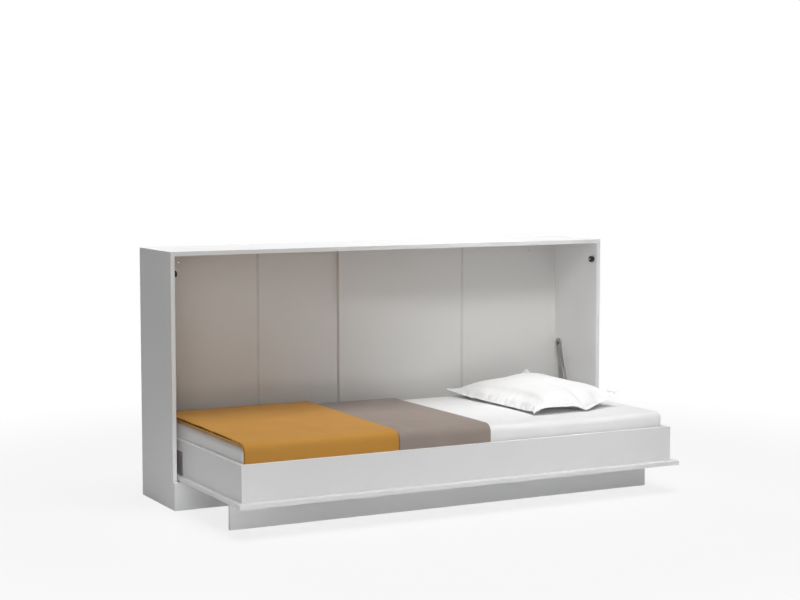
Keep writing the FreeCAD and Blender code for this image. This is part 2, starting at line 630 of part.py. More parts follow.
def end_rail():
    """Right end rail with mitred ends."""
    corners = [V(HALF_FRAME, FRAME_FRONT, DOOR_HIGH), V(HALF_FRAME, FRAME_REAR, DOOR_HIGH),
               V(HALF_FRAME_INNER, FRAME_REAR - RAIL, DOOR_HIGH),
               V(HALF_FRAME_INNER, FRAME_FRONT + RAIL, DOOR_HIGH)]
    face = Part.Face(Part.makePolygon(corners + corners[:1]))
    return cut_all(face.extrude(V(0, 0, RAIL_HEIGHT)), plate_screws() + angle_screws())


def corner_angle(side, rear):
    """Steel angle inside one corner of the frame."""
    x = side * HALF_FRAME_INNER
    y = FRAME_REAR - RAIL if rear else FRAME_FRONT + RAIL
    turn = -1 if rear else 1
    x_far, x_thin = x - side * ANGLE_LEG, x - side * ANGLE_METAL
    y_far, y_thin = y + turn * ANGLE_LEG, y + turn * ANGLE_METAL
    top = DOOR_HIGH + ANGLE_HEIGHT
    on_long = block(min(x, x_far), max(x, x_far), min(y, y_thin), max(y, y_thin), DOOR_HIGH, top)
    on_end = block(min(x, x_thin), max(x, x_thin), min(y, y_far), max(y, y_far), DOOR_HIGH, top)
    return cut_all(joined([on_long, on_end]), angle_screws())


def angle_screws():
    """One screw through each leg of each corner angle."""
    z = DOOR_HIGH + ANGLE_HEIGHT / 2
    reach = ANGLE_LEG - ANGLE_SCREW_INSET
    screws = []
    for side in (-1, 1):
        x = side * HALF_FRAME_INNER
        for y, turn in ((FRAME_REAR - RAIL, -1), (FRAME_FRONT + RAIL, 1)):
            head = (x - side * ANGLE_METAL, y + turn * reach, z)
            tip = (x + side * SCREW_DEPTH, y + turn * reach, z)
            screws.append(countersunk(SCREW_RADIUS, SCREW_HEAD_RADIUS, tip, head))
            head = (x - side * reach, y + turn * ANGLE_METAL, z)
            tip = (x - side * reach, y - turn * SCREW_DEPTH, z)
            screws.append(countersunk(SCREW_RADIUS, SCREW_HEAD_RADIUS, tip, head))
    return screws


def ledge_screw_places():
    """X places of the ledge screws, midway between two slats."""
    places = slat_places()
    last = SLAT_COUNT - 2
    gaps = [round(last * index / (LEDGE_SCREW_COUNT - 1)) for index in range(LEDGE_SCREW_COUNT)]
    return [(places[gap] + places[gap + 1]) / 2 for gap in gaps]


def ledge_screws():
    """Screws down through the ledges into the front panel, and sideways into the rails."""
    screws = []
    for rail_y, turn in ((FRAME_FRONT + RAIL, 1), (FRAME_REAR - RAIL, -1)):
        middle = rail_y + turn * LEDGE_WIDTH / 2
        z = DOOR_HIGH + LEDGE_HEIGHT / 2
        for x in ledge_screw_places():
            tip = (x, middle, DOOR_HIGH - LEDGE_SCREW_IN_DOOR)
            screws.append(countersunk(LEDGE_SCREW_RADIUS, SCREW_HEAD_RADIUS, tip, (x, middle, LEDGE_TOP)))
            beside = x + LEDGE_SCREW_PITCH
            tip = (beside, rail_y - turn * SCREW_DEPTH, z)
            head = (beside, rail_y + turn * LEDGE_WIDTH, z)
            screws.append(countersunk(LEDGE_SCREW_RADIUS, SCREW_HEAD_RADIUS, tip, head))
    return screws


def slat_ledge(rail_y, turn):
    """Ledge along a long rail that carries the slats and ties the frame to the front panel."""
    half = HALF_FRAME_INNER - LEDGE_END_GAP
    ends = sorted((rail_y, rail_y + turn * LEDGE_WIDTH))
    return cut_all(block(-half, half, ends[0], ends[1], DOOR_HIGH, LEDGE_TOP), ledge_screws())


def end_ledge():
    """Ledge along the right end rail."""
    gap = LEDGE_END_GAP
    return block(HALF_FRAME_INNER - LEDGE_WIDTH, HALF_FRAME_INNER,
                 FRAME_FRONT + RAIL + gap, FRAME_REAR - RAIL - gap, DOOR_HIGH, LEDGE_TOP)


def slat_places():
    pitch = (FRAME_INNER_LENGTH - 2 * LEDGE_END_GAP - SLAT_WIDTH) / (SLAT_COUNT - 1)
    first = -pitch * (SLAT_COUNT - 1) / 2
    return [first + pitch * index for index in range(SLAT_COUNT)]


def slats():
    """Wooden slats across the frame."""
    inset = HOLDER_WALL + SLAT_END_CLEARANCE
    y0 = FRAME_FRONT + RAIL + inset
    y1 = FRAME_REAR - RAIL - inset
    return group([block(x - SLAT_WIDTH / 2, x + SLAT_WIDTH / 2, y0, y1, SLAT_LOW, SLAT_TOP)
                  for x in slat_places()])


def slat_holder(x, rail_y, turn):
    """Plastic pocket that holds one slat's end on its ledge."""
    half = SLAT_WIDTH / 2 + HOLDER_PLAY + HOLDER_WALL
    ends = sorted((rail_y, rail_y + turn * HOLDER_LENGTH))
    body = block(x - half, x + half, ends[0], ends[1], LEDGE_TOP, MATTRESS_LOW)
    mouth = sorted((rail_y + turn * HOLDER_WALL, rail_y + turn * (HOLDER_LENGTH + 1)))
    pocket_half = SLAT_WIDTH / 2 + HOLDER_PLAY
    pocket = block(x - pocket_half, x + pocket_half, mouth[0], mouth[1], SLAT_LOW, MATTRESS_LOW - HOLDER_LID)
    return body.cut(pocket)


def slat_holders():
    sides = ((FRAME_FRONT + RAIL, 1), (FRAME_REAR - RAIL, -1))
    return group([slat_holder(x, rail_y, turn) for x in slat_places() for rail_y, turn in sides])


def front_panel():
    """Panel under the bed frame that closes the cupboard when the bed is up."""
    board = block(-HALF_DOOR, HALF_DOOR, DOOR_FRONT, DOOR_REAR, DOOR_LOW, DOOR_HIGH)
    return cut_all(board, ledge_screws() + hinge_door_screws())


# ------------------------------------------------------------------ leg and its hinges
def hinge_places():
    return (-LEG_HINGE_X, 0.0, LEG_HINGE_X)


def hinge_screw_offsets():
    reach = HINGE_LENGTH / 2 - HINGE_SCREW_INSET
    return (-reach, reach)


def hinge_door_screws():
    """Screws up into the front panel."""
    y = LEG_AXIS_Y + HINGE_LEAF - HINGE_SCREW_INSET
    return [countersunk(HINGE_SCREW_RADIUS, HINGE_SCREW_HEAD_RADIUS,
                        (x + dx, y, DOOR_LOW + HINGE_SCREW_DEPTH), (x + dx, y, DOOR_LOW - HINGE_METAL))
            for x in hinge_places() for dx in hinge_screw_offsets()]


def hinge_leg_screws():
    """Screws forward into the leg board."""
    z = LEG_AXIS_Z - HINGE_LEAF + HINGE_SCREW_INSET
    return [countersunk(HINGE_SCREW_RADIUS, HINGE_SCREW_HEAD_RADIUS,
                        (x + dx, LEG_REAR - HINGE_SCREW_DEPTH, z), (x + dx, LEG_REAR + HINGE_METAL, z))
            for x in hinge_places() for dx in hinge_screw_offsets()]


def knuckle(x0, x1, bore):
    """Hinge knuckle round the leg's axis."""
    return ring(HINGE_KNUCKLE_RADIUS, bore, (x0, LEG_AXIS_Y, LEG_AXIS_Z), (x1, LEG_AXIS_Y, LEG_AXIS_Z))


def knuckle_room(x0, x1):
    """Space that another leaf's knuckle turns in."""
    radius = HINGE_KNUCKLE_RADIUS + HINGE_SIDE_PLAY
    return rod(radius, (x0, LEG_AXIS_Y, LEG_AXIS_Z), (x1, LEG_AXIS_Y, LEG_AXIS_Z))


def hinge_door_leaf(x):
    """Leaf under the front panel, with the two outer knuckles."""
    half = HINGE_LENGTH / 2
    gap = HINGE_MIDDLE / 2 + HINGE_SIDE_PLAY
    leaf = block(x - half, x + half, LEG_AXIS_Y, LEG_AXIS_Y + HINGE_LEAF, DOOR_LOW - HINGE_METAL, DOOR_LOW)
    room = knuckle_room(x - gap, x + gap)
    bore = rod(HINGE_PIN_RADIUS, (x - half, LEG_AXIS_Y, LEG_AXIS_Z), (x + half, LEG_AXIS_Y, LEG_AXIS_Z))
    barrels = [knuckle(x - half, x - gap, HINGE_PIN_RADIUS), knuckle(x + gap, x + half, HINGE_PIN_RADIUS)]
    return joined([leaf.cut([room, bore])] + barrels).cut(hinge_door_screws())


def hinge_leg_leaf(x):
    """Leaf on the leg's rear face, with the middle knuckle."""
    half = HINGE_LENGTH / 2
    middle = HINGE_MIDDLE / 2
    leaf = block(x - half, x + half, LEG_REAR, LEG_REAR + HINGE_METAL, LEG_AXIS_Z - HINGE_LEAF, LEG_AXIS_Z)
    rooms = [knuckle_room(x - half, x - middle), knuckle_room(x + middle, x + half)]
    bore = rod(HINGE_PIN_RADIUS + RUNNING_CLEARANCE,
               (x - middle, LEG_AXIS_Y, LEG_AXIS_Z), (x + middle, LEG_AXIS_Y, LEG_AXIS_Z))
    barrel = knuckle(x - middle, x + middle, HINGE_PIN_RADIUS + RUNNING_CLEARANCE)
    return joined([leaf.cut(rooms + [bore]), barrel]).cut(hinge_leg_screws())


def hinge_pin(x):
    half = HINGE_LENGTH / 2
    return rod(HINGE_PIN_RADIUS, (x - half, LEG_AXIS_Y, LEG_AXIS_Z), (x + half, LEG_AXIS_Y, LEG_AXIS_Z))


def leg_board():
    """Board along the bed that stands on the floor under the front panel."""
    board = block(-HALF_LEG, HALF_LEG, LEG_FRONT, LEG_REAR, 0, LEG_AXIS_Z)
    rooms = [knuckle_room(x - HINGE_LENGTH / 2, x + HINGE_LENGTH / 2) for x in hinge_places()]
    return cut_all(board, rooms + hinge_leg_screws())


# ------------------------------------------------------------------ mattress and bedding
def mattress():
    """Mattress with rounded upright corners and rounded edges."""
    body = block(MATTRESS_LEFT, MATTRESS_RIGHT, MATTRESS_FRONT, MATTRESS_REAR, MATTRESS_LOW, MATTRESS_TOP)
    upright = [edge for edge in body.Edges if abs(edge.tangentAt(edge.FirstParameter).z) > 0.9]
    body = body.makeFillet(MATTRESS_CORNER_RADIUS, upright)
    rims = [edge for edge in body.Edges
            if all(abs(vertex.Z - MATTRESS_TOP) < 0.01 for vertex in edge.Vertexes)]
    return body.makeFillet(MATTRESS_EDGE_RADIUS, rims)


def cover(x0, x1, thickness):
    """Cover over the mattress, tucked in between it and the long rails."""
    low = RAIL_TOP - COVER_TUCK
    lines = []
    for offset in (SOFT_CLEARANCE, thickness):
        front = MATTRESS_FRONT - offset
        rear = MATTRESS_REAR + offset
        top = MATTRESS_TOP + offset
        radius = MATTRESS_EDGE_RADIUS + offset
        bend = radius * (1 - math.sqrt(0.5))
        lines.append([
            (front, low), (front, top - radius), (front + bend, top - bend), (front + radius, top),
            (rear - radius, top), (rear - bend, top - bend), (rear, top - radius), (rear, low)])
    edges = []
    for points in lines:
        a, b, c, d, e, f, g, h = [V(x0, y, z) for y, z in points]
        edges += [Part.makeLine(a, b), Part.Arc(b, c, d).toShape(), Part.makeLine(d, e),
                  Part.Arc(e, f, g).toShape(), Part.makeLine(g, h)]
    inner, outer = lines
    for place in (0, -1):
        edges.append(Part.makeLine(V(x0, *inner[place]), V(x0, *outer[place])))
    face = Part.Face(Part.Wire(Part.__sortEdges__(edges)))
    return face.extrude(V(x1 - x0, 0, 0))


def pillow_outline(inset, height):
    """Closed outline of the pillow at a height: drawn-in sides between rounded corners."""
    half_x = PILLOW_WIDTH / 2 - inset
    half_y = PILLOW_LENGTH / 2 - inset
    radius = PILLOW_CORNER_RADIUS
    bend = radius * (1 - math.sqrt(0.5))
    draw = PILLOW_DRAW_IN * (1 - inset / PILLOW_FLAT_INSET)
    corners = [(1, 1), (-1, 1), (-1, -1), (1, -1)]
    edges = []
    for index, (sx, sy) in enumerate(corners):
        near = V(sx * half_x, sy * (half_y - radius), height)
        tip = V(sx * (half_x - bend), sy * (half_y - bend), height)
        far = V(sx * (half_x - radius), sy * half_y, height)
        start, end = (near, far) if sx * sy > 0 else (far, near)
        edges.append(Part.Arc(start, tip, end).toShape())
        nx, ny = corners[(index + 1) % 4]
        if ny == sy:
            middle = V(0, sy * (half_y - draw), height)
            following = V(nx * (half_x - radius), ny * half_y, height)
        else:
            middle = V(sx * (half_x - draw), 0, height)
            following = V(nx * half_x, ny * (half_y - radius), height)
        edges.append(Part.Arc(end, middle, following).toShape())
    return Part.Wire(edges)


def pillow_levels():
    """Inset and height of each pillow outline, from the flat underside up to the crown."""
    seam = PILLOW_HEIGHT * PILLOW_SEAM_SHARE
    levels = []
    for degrees in PILLOW_UNDER_STEPS:
        angle = math.radians(degrees)
        levels.append((PILLOW_UNDER_INSET * (1 - math.cos(angle)), seam * (1 - math.sin(angle))))
    for degrees in PILLOW_CROWN_STEPS:
        angle = math.radians(degrees)
        levels.append((PILLOW_CROWN_INSET * (1 - math.cos(angle)),
                       seam + (PILLOW_HEIGHT - seam) * math.sin(angle)))
    return levels


def pillow():
    """Pillow with a crown, lying across the bed near its right end."""
    outlines = [pillow_outline(inset, height) for inset, height in pillow_levels()]
    body = Part.makeLoft(outlines, True, False)
    body.rotate(V(0, 0, 0), V(0, 0, 1), PILLOW_TURN)
    body.translate(V(PILLOW_CENTRE_X, FRONT + PILLOW_SETBACK, MATTRESS_TOP))
    return body


# ------------------------------------------------------------------ every node
def pair(name, shape):
    """Right piece and its mirrored left twin."""
    return {"right_" + name: shape, "left_" + name: mirrored(shape)}


def both(name, shape):
    """Small right piece and its mirrored left twin in one node."""
    return {name: group([shape, mirrored(shape)])}


def cabinet_nodes():
    web = JOINT_STRIP_WALL / 2
    joint = BACK_JOINT_X
    nodes = {
        "top_panel": top_panel(),
        "base_board": base_board(),
        "plinth_board": plinth_board(),
        "back_panel_far_left": back_panel(-HALF_INNER, -joint - web),
        "back_panel_near_left": back_panel(-joint + web, 0),
        "back_panel_near_right": back_panel(0, joint - web),
        "back_panel_far_right": back_panel(joint + web, HALF_INNER),
        "back_joint_strip_left": back_joint_strip(-joint),
        "back_joint_strip_right": back_joint_strip(joint),
        "back_centre_board": back_centre_board(),
        "rear_top_rail": rear_rail(TOP_LOW - REAR_RAIL_HEIGHT),
        "rear_bottom_rail": rear_rail(BASE_TOP),
        "cabinet_dowels": group(cabinet_dowels() + plinth_dowels()),
        "cabinet_cams": group(cabinet_cams()),
        "cabinet_cam_bolts": group(cabinet_cam_bolts()),
        "back_panel_screws": group(rear_rail_screws()),
        "side_bracket_screws": group(bracket_screws()),
    }
    nodes.update(pair("side_panel", side_panel()))
    nodes.update(pair("side_bracket", side_bracket()))
    nodes.update(both("pivot_bushes", pivot_bush()))
    nodes.update(both("strut_top_studs", strut_top_stud()))
    nodes.update(both("stop_bolts", stop_bolt()))
    nodes.update(both("stop_rollers", stop_roller()))
    return nodes


def bed_nodes():
    rear_inner = FRAME_REAR - RAIL
    front_inner = FRAME_FRONT + RAIL
    rail_screws = angle_screws() + ledge_screws()
    corners = [corner_angle(side, rear) for side in (-1, 1) for rear in (False, True)]
    nodes = {
        "bed_front_rail": long_rail(FRAME_FRONT, front_inner, rail_screws),
        "bed_rear_rail": long_rail(FRAME_REAR, rear_inner, rail_screws),
        "front_panel": front_panel(),
        "front_slat_ledge": slat_ledge(front_inner, 1),
        "rear_slat_ledge": slat_ledge(rear_inner, -1),
        "slats": slats(),
        "slat_holders": slat_holders(),
        "frame_corner_angles": group(corners),
        "corner_angle_screws": group(angle_screws()),
        "ledge_screws": group(ledge_screws()),
        "pivot_plate_screws": group(plate_screws()),
        "mattress": mattress(),
        "ochre_cover": cover(FOLDED_COVER_LEFT, FOLDED_COVER_RIGHT, FOLDED_COVER_THICKNESS),
        "taupe_cover": cover(THIN_COVER_LEFT, THIN_COVER_RIGHT, THIN_COVER_THICKNESS),
        "pillow": pillow(),
        "leg_hinge_door_leaves": group([hinge_door_leaf(x) for x in hinge_places()]),
        "leg_hinge_pins": group([hinge_pin(x) for x in hinge_places()]),
        "leg_hinge_door_screws": group(hinge_door_screws()),
    }
    nodes.update(pair("bed_end_rail", end_rail()))
    nodes.update(pair("end_ledge", end_ledge()))
    nodes.update(pair("pivot_plate", pivot_plate()))
    nodes.update(pair("pivot_pin", pivot_pin()))
    nodes.update(both("crank_studs", crank_stud()))
    return nodes


def leg_nodes():
    return {
        "leg_board": leg_board(),
        "leg_hinge_leg_leaves": group([hinge_leg_leaf(x) for x in hinge_places()]),
        "leg_hinge_leg_screws": group(hinge_leg_screws()),
    }


def strut_nodes():
    nodes = pair("strut_rod", strut_rod())
    nodes.update(pair("strut_cylinder", strut_cylinder()))
    return nodes


def bodies():
    """Moving bodies and the pieces in each."""
    struts = strut_nodes()
    return {
        "cabinet": cabinet_nodes(),
        "bed": bed_nodes(),
        "leg": leg_nodes(),
        "strut_rod_left": {"left_strut_rod": struts["left_strut_rod"]},
        "strut_rod_right": {"right_strut_rod": struts["right_strut_rod"]},
        "strut_cylinder_left": {"left_strut_cylinder": struts["left_strut_cylinder"]},
        "strut_cylinder_right": {"right_strut_cylinder": struts["right_strut_cylinder"]},
    }


def main():
    os.makedirs(OUT, exist_ok=True)
    for nodes in bodies().values():
        for name, shape in nodes.items():
            shape.exportStep(os.path.join(OUT, name + ".step"))


if __name__ == "__main__":
    main()
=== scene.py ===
"""Looks of the cabinet bed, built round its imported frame.

Lengths are metres in the frame's own axes: X runs along the cupboard, Y to its back wall and
Z up.  The hard pieces are the frame's own nodes with finishes and eased edges.  The mattress,
its fitted sheet, the two covers and the pillow are made here, and they all ride on the bed.
"""

import logging
import math
from dataclasses import dataclass, field, replace
from enum import Enum
from typing import Callable, Iterable, Optional, Union

import bmesh
import bpy
from bmesh.types import BMEdge, BMesh, BMFace
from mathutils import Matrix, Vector, noise


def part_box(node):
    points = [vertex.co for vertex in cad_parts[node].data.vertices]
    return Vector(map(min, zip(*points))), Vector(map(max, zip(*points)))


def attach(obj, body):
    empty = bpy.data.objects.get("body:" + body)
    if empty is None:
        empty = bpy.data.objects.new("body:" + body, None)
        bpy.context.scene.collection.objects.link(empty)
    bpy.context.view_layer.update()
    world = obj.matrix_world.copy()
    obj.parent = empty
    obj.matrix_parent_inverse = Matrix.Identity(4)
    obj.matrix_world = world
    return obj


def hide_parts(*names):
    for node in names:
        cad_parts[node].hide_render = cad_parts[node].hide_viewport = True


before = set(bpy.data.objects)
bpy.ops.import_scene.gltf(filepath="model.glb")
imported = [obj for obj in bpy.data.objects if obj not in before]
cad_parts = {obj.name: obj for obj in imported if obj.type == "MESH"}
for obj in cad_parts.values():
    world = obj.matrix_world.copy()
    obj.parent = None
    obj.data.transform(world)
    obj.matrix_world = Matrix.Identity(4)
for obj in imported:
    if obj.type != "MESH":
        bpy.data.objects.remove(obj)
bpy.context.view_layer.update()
LOG = logging.getLogger("cabinet_bed")

Colour = tuple[float, float, float]
Pair = tuple[float, float]
Knots = tuple[tuple[float, Vector], ...]
Value = Union["Shade", float]
TAU = 2 * math.pi
WHITE = (1.0, 1.0, 1.0, 1.0)
BED_BODY = "bed"


# --- choices
class Slot(Enum):
    """Material slot names of the record; each cover holds one, but nothing reads it and finishes
    come from Finish.
    """

    SHEET = "sheet_white"
    OCHRE = "ochre_fabric"
    TAUPE = "taupe_fabric"


class Grain(Enum):
    """Direction of the grain, as how tightly the pattern is packed on X, Y and Z."""

    ALONG_X = (1.0, 14.0, 14.0)
    ALONG_Y = (14.0, 1.0, 14.0)


# --- shader maths
def _operator(operation: str, turned: bool = False) -> Callable[["Shade", "Value"], "Shade"]:
    """Makes a method of Shade that adds one Math node.

    Args:
        operation: what the node works out.
        turned: whether the other value comes first.

    Returns:
        The method.
    """
    def method(self: "Shade", other: "Value") -> "Shade":
        """Works out the two values' result."""
        return self.graph.math(operation, *((other, self) if turned else (self, other)))

    return method


class Shade:
    """One socket of a node tree, with the arithmetic that adds Math nodes."""

    def __init__(self, graph: "Graph", socket: bpy.types.NodeSocket) -> None:
        """Keeps the socket and the graph that it belongs to."""
        self.graph = graph
        self.socket = socket

    __add__ = __radd__ = _operator("ADD")
    __mul__ = __rmul__ = _operator("MULTIPLY")
    __sub__ = _operator("SUBTRACT")
    __rsub__ = _operator("SUBTRACT", turned=True)
    most = _operator("MAXIMUM")

    def wave(self, turns: float) -> "Shade":
        """Sine that repeats a number of times in each unit."""
        return self.graph.math("SINE", self * (TAU * turns))

    def sway(self, amount: float) -> "Shade":
        """Noise as a change of up to half the amount each way."""
        return (self - 0.5) * amount


class Graph:
    """Node tree of a material or a world."""

    def __init__(self, owner: Union[bpy.types.Material, bpy.types.World], output: str) -> None:
        """Empties the owner's tree and adds its output node."""
        owner.use_nodes = True
        self.tree = owner.node_tree
        self.tree.nodes.clear()
        self.output = self.tree.nodes.new(output)

    def feed(self, socket: bpy.types.NodeSocket, value: object) -> None:
        """Links a Shade to a socket, or sets the socket's own value.

        Args:
            socket: the input socket.
            value: the Shade or the constant.
        """
        if isinstance(value, Shade):
            self.tree.links.new(value.socket, socket)
        else:
            socket.default_value = value

    def node(self, kind: str, settings: Optional[dict] = None, inputs: Optional[dict] = None,
             output: Union[int, str] = 0) -> Shade:
        """Adds one node.

        Args:
            kind: type of the node, without the ShaderNode that they all start with.
            settings: its properties, set before anything is linked.
            inputs: values or links of its sockets, by name or number.
            output: the socket that is wanted from it.

        Returns:
            The wanted output.
        """
        made = self.tree.nodes.new("ShaderNode" + kind)
        for key, value in (settings or {}).items():
            setattr(made, key, value)
        for key, value in (inputs or {}).items():
            self.feed(made.inputs[key], value)
        return Shade(self, made.outputs[output])

    def math(self, operation: str, first: Value, second: Value = 0.0) -> Shade:
        """Adds one Math node."""
        return self.node("Math", {"operation": operation}, {0: first, 1: second})

    def mix(self, share: Value, first: Shade, second: Shade) -> None:
        """Shows a mix of two shaders."""
        mixed = self.node("MixShader", None, {0: share, 1: first, 2: second})
        self.feed(self.output.inputs[0], mixed)

    def ray(self, kind: str) -> Shade:
        """1 for one kind of ray and 0 for the others."""
        return self.node("LightPath", output=f"Is {kind} Ray")

    def place(self, packing: Iterable[float] = (1.0, 1.0, 1.0)) -> Shade:
        """Object coordinates, packed more or less tightly on each axis."""
        spot = self.node("TexCoord", output="Object")
        return self.node("VectorMath", {"operation": "MULTIPLY"},
                         {0: spot, 1: tuple(packing)})

    def cloth(self) -> tuple[Shade, Shade]:
        """Metres along the cloth's weft and its warp."""
        spot = self.node("UVMap", {"uv_map": "cloth"})
        weft = self.node("SeparateXYZ", None, {0: spot})
        return weft, Shade(self, weft.socket.node.outputs[1])

    def noise(self, spot: Shade, scale: float, detail: float = 2.0) -> Shade:
        """Noise from 0 to 1 at a place."""
        return self.node("TexNoise", None,
                         {"Vector": spot, "Scale": scale, "Detail": detail})

    def between(self, first: Colour, second: Colour, share: Value) -> Shade:
        """Colour between two colours."""
        return self.node("Mix", {"data_type": "RGBA"},
                         {0: share, 6: rgba(first), 7: rgba(second)}, 2)

    def step(self, value: Shade, low: float, high: float) -> Shade:
        """Smooth step from 0 at low to 1 at high."""
        return self.node("MapRange", {"interpolation_type": "SMOOTHSTEP"},
                         {"Value": value, "From Min": low, "From Max": high})


class Skin(Graph):
    """Node tree of one material, with its Principled shader."""

    def __init__(self, name: str) -> None:
        """Starts an opaque material with the given name."""
        self.material = bpy.data.materials.new(name)
        super().__init__(self.material, "ShaderNodeOutputMaterial")
        self.surface = self.tree.nodes.new("ShaderNodeBsdfPrincipled")
        self.tree.links.new(self.surface.outputs[0], self.output.inputs[0])

    def dress(self, **inputs: object) -> None:
        """Feeds sockets of the shader, with _ for the space in their names."""
        for key, value in inputs.items():
            self.feed(self.surface.inputs[key.replace("_", " ")], value)

    def relief(self, height: Shade, depth: float) -> None:
        """Raises the surface by the height times a depth in metres."""
        self.dress(Normal=self.node("Bump", None,
                                    {"Height": height, "Strength": 1.0, "Distance": depth}))


def rgba(colour: Colour) -> tuple[float, float, float, float]:
    """Linear colour with full alpha from three sRGB shares."""
    linear = [c / 12.92 if c <= 0.04045 else ((c + 0.055) / 1.055) ** 2.4 for c in colour]
    return (*linear, 1.0)


# --- finishes
@dataclass(frozen=True)
class Finish:
    """A named finish that makes its material once."""

    name: str
    colour: Colour

    def paint(self, skin: Skin) -> None:
        """Fills the material's nodes."""
        raise NotImplementedError

    def dulled(self, skin: Skin, depth: float, share: Shade) -> Shade:
        """The finish's colour, darkened to a depth by a share."""
        return skin.between(self.colour, tuple(c * depth for c in self.colour), share)

    def material(self) -> bpy.types.Material:
        """The finish's material, made at the first call."""
        known = bpy.data.materials.get(self.name)
        if known is None:
            skin = Skin(self.name)
            self.paint(skin)
            known = skin.material
        return known


@dataclass(frozen=True)
class Melamine(Finish):
    """Resin-faced board with a fine pearl texture and a faint drift in tone."""

    roughness: float = 0.42
    pearl: float = 1100.0
    cloud: float = 2.2
    drift: float = 0.97
    depth: float = 0.00002

    def paint(self, skin: Skin) -> None:
        """Fills the material's nodes."""
        place = skin.place()
        cloud = skin.noise(place, self.cloud)
        grit = skin.noise(place, self.pearl, 1.0)
        skin.dress(Base_Color=self.dulled(skin, self.drift, cloud),
                   Roughness=self.roughness + cloud.sway(0.08) + grit.sway(0.12),
                   Specular_IOR_Level=0.35)
        skin.relief(grit, self.depth)


@dataclass(frozen=True)
class Timber(Finish):
    """Planed softwood or birch with growth lines along the piece."""

    late: Colour
    grain: Grain = Grain.ALONG_X
    lines: float = 9.0
    bend: float = 1.6
    swirl: float = 30.0 / TAU
    fibre: float = 90.0
    roughness: float = 0.55
    depth: float = 0.00012

    def paint(self, skin: Skin) -> None:
        """Fills the material's nodes."""
        place = skin.place(self.grain.value)
        bend = skin.noise(place, self.bend, 3.0)
        rings = skin.noise(place, self.lines) * 0.5 + 0.5 * bend.wave(self.swirl)
        fibre = skin.noise(place, self.fibre)
        share = skin.step(rings, 0.2, 0.85) * 0.7 + fibre * 0.3
        skin.dress(Base_Color=skin.between(self.colour, self.late, share),
                   Roughness=self.roughness + fibre.sway(0.15))
        skin.relief(fibre, self.depth)


@dataclass(frozen=True)
class Metal(Finish):
    """Plated steel, a little cloudy and brushed."""

    roughness: float = 0.3
    cloud: float = 60.0
    brush: tuple[float, float, float] = (40.0, 40.0, 900.0)
    dull: float = 0.82
    depth: float = 0.00001

    def paint(self, skin: Skin) -> None:
        """Fills the material's nodes."""
        cloud = skin.noise(skin.place(), self.cloud, 3.0)
        brush = skin.noise(skin.place(self.brush), 1.0)
        skin.dress(Base_Color=self.dulled(skin, self.dull, cloud),
                   Roughness=self.roughness + cloud.sway(0.16) + brush.sway(0.06), Metallic=1.0)
        skin.relief(brush, self.depth)


@dataclass(frozen=True)
class Coated(Finish):
    """Powder-coated steel, moulded plastic or rubber with a fine surface."""

    roughness: float = 0.5
    texture: float = 1600.0
    cloud: float = 14.0
    dull: float = 0.88
    depth: float = 0.00004

    def paint(self, skin: Skin) -> None:
        """Fills the material's nodes."""
        place = skin.place()
        peel = skin.noise(place, self.texture)
        skin.dress(Base_Color=self.dulled(skin, self.dull, skin.noise(place, self.cloud)),
                   Roughness=self.roughness + peel.sway(0.1))
        skin.relief(peel, self.depth)


@dataclass(frozen=True)
class Woven(Finish):
    """Woven cotton or sateen: threads, slubs and soft rubbing, laid along the cloth."""

    shadow: Colour
    threads: float = 1500.0
    slub_run: float = 22.0
    slub_pitch: float = 900.0
    slub: float = 0.5
    rubbing: float = 7.0
    roughness: float = 0.8
    sheen: float = 0.2
    depth: float = 0.00006

    def paint(self, skin: Skin) -> None:
        """Fills the material's nodes."""
        weft, warp = skin.cloth()
        weave = weft.wave(self.threads) * warp.wave(self.threads)
        across, along = (
            skin.noise(skin.node("CombineXYZ", None, {0: weft * u, 1: warp * v}), 1.0)
            for u, v in ((self.slub_run, self.slub_pitch), (self.slub_pitch, self.slub_run)))
        threads = (across + along) * 0.5
        rubbed = skin.noise(skin.place(), self.rubbing, 3.0)
        share = skin.step(rubbed, 0.3, 0.75) * 0.45 + (1.0 - threads) * self.slub
        skin.dress(Base_Color=skin.between(self.colour, self.shadow, share),
                   Roughness=self.roughness + rubbed.sway(0.12),
                   Sheen_Weight=self.sheen, Sheen_Roughness=0.4, Specular_IOR_Level=0.25)
        skin.relief(weave * 0.35 + threads, self.depth)


WHITE_BOARD = Melamine("white_melamine", (0.93, 0.93, 0.93))
BACK_BOARD = Melamine("back_wall_board", (0.865, 0.86, 0.85), roughness=0.5)
JOINT_STRIP = Coated("joint_strip_plastic", (0.845, 0.84, 0.83), roughness=0.45)
PALE_COAT = Coated("pale_powder_coat", (0.86, 0.86, 0.86), roughness=0.4)
# Pivot plate coat darkened to a mid grey as painted shade: it stands for the shadow in the gap
# between the side panel and the bed's end rail.
PLATE_PAINTED_SHADE = Coated("plate_coat_painted_shade", (0.64, 0.63, 0.62))
BRACKET_GREY = Coated("bracket_powder_coat", (0.74, 0.73, 0.715))
STRUT_GREY = Coated("strut_grey", (0.58, 0.57, 0.56), roughness=0.4, texture=2400.0)
GREY_PLASTIC = Coated("holder_plastic", (0.62, 0.62, 0.63), roughness=0.45)
BUSH_PLASTIC = Coated("bush_plastic", (0.9, 0.9, 0.88), roughness=0.35)
RUBBER = Coated("stop_rubber", (0.085, 0.08, 0.08), roughness=0.62, texture=900.0)
ZINC = Metal("zinc_plate", (0.8, 0.8, 0.79))
ROD_STEEL = Metal("nitrided_rod", (0.52, 0.51, 0.50), roughness=0.38)
PINE = Timber("planed_pine", (0.86, 0.74, 0.56), late=(0.72, 0.55, 0.36))
CROSS_PINE = replace(PINE, name="planed_pine_across", grain=Grain.ALONG_Y)
SLAT_WOOD = Timber("birch_slat", (0.87, 0.78, 0.63), late=(0.78, 0.65, 0.47), grain=Grain.ALONG_Y)
WHITE_COTTON = Woven("white_cotton", (0.965, 0.965, 0.965), shadow=(0.94, 0.94, 0.943), slub=0.3)
TICKING = Woven("mattress_ticking", (0.9, 0.9, 0.89), shadow=(0.82, 0.82, 0.82), threads=700.0)
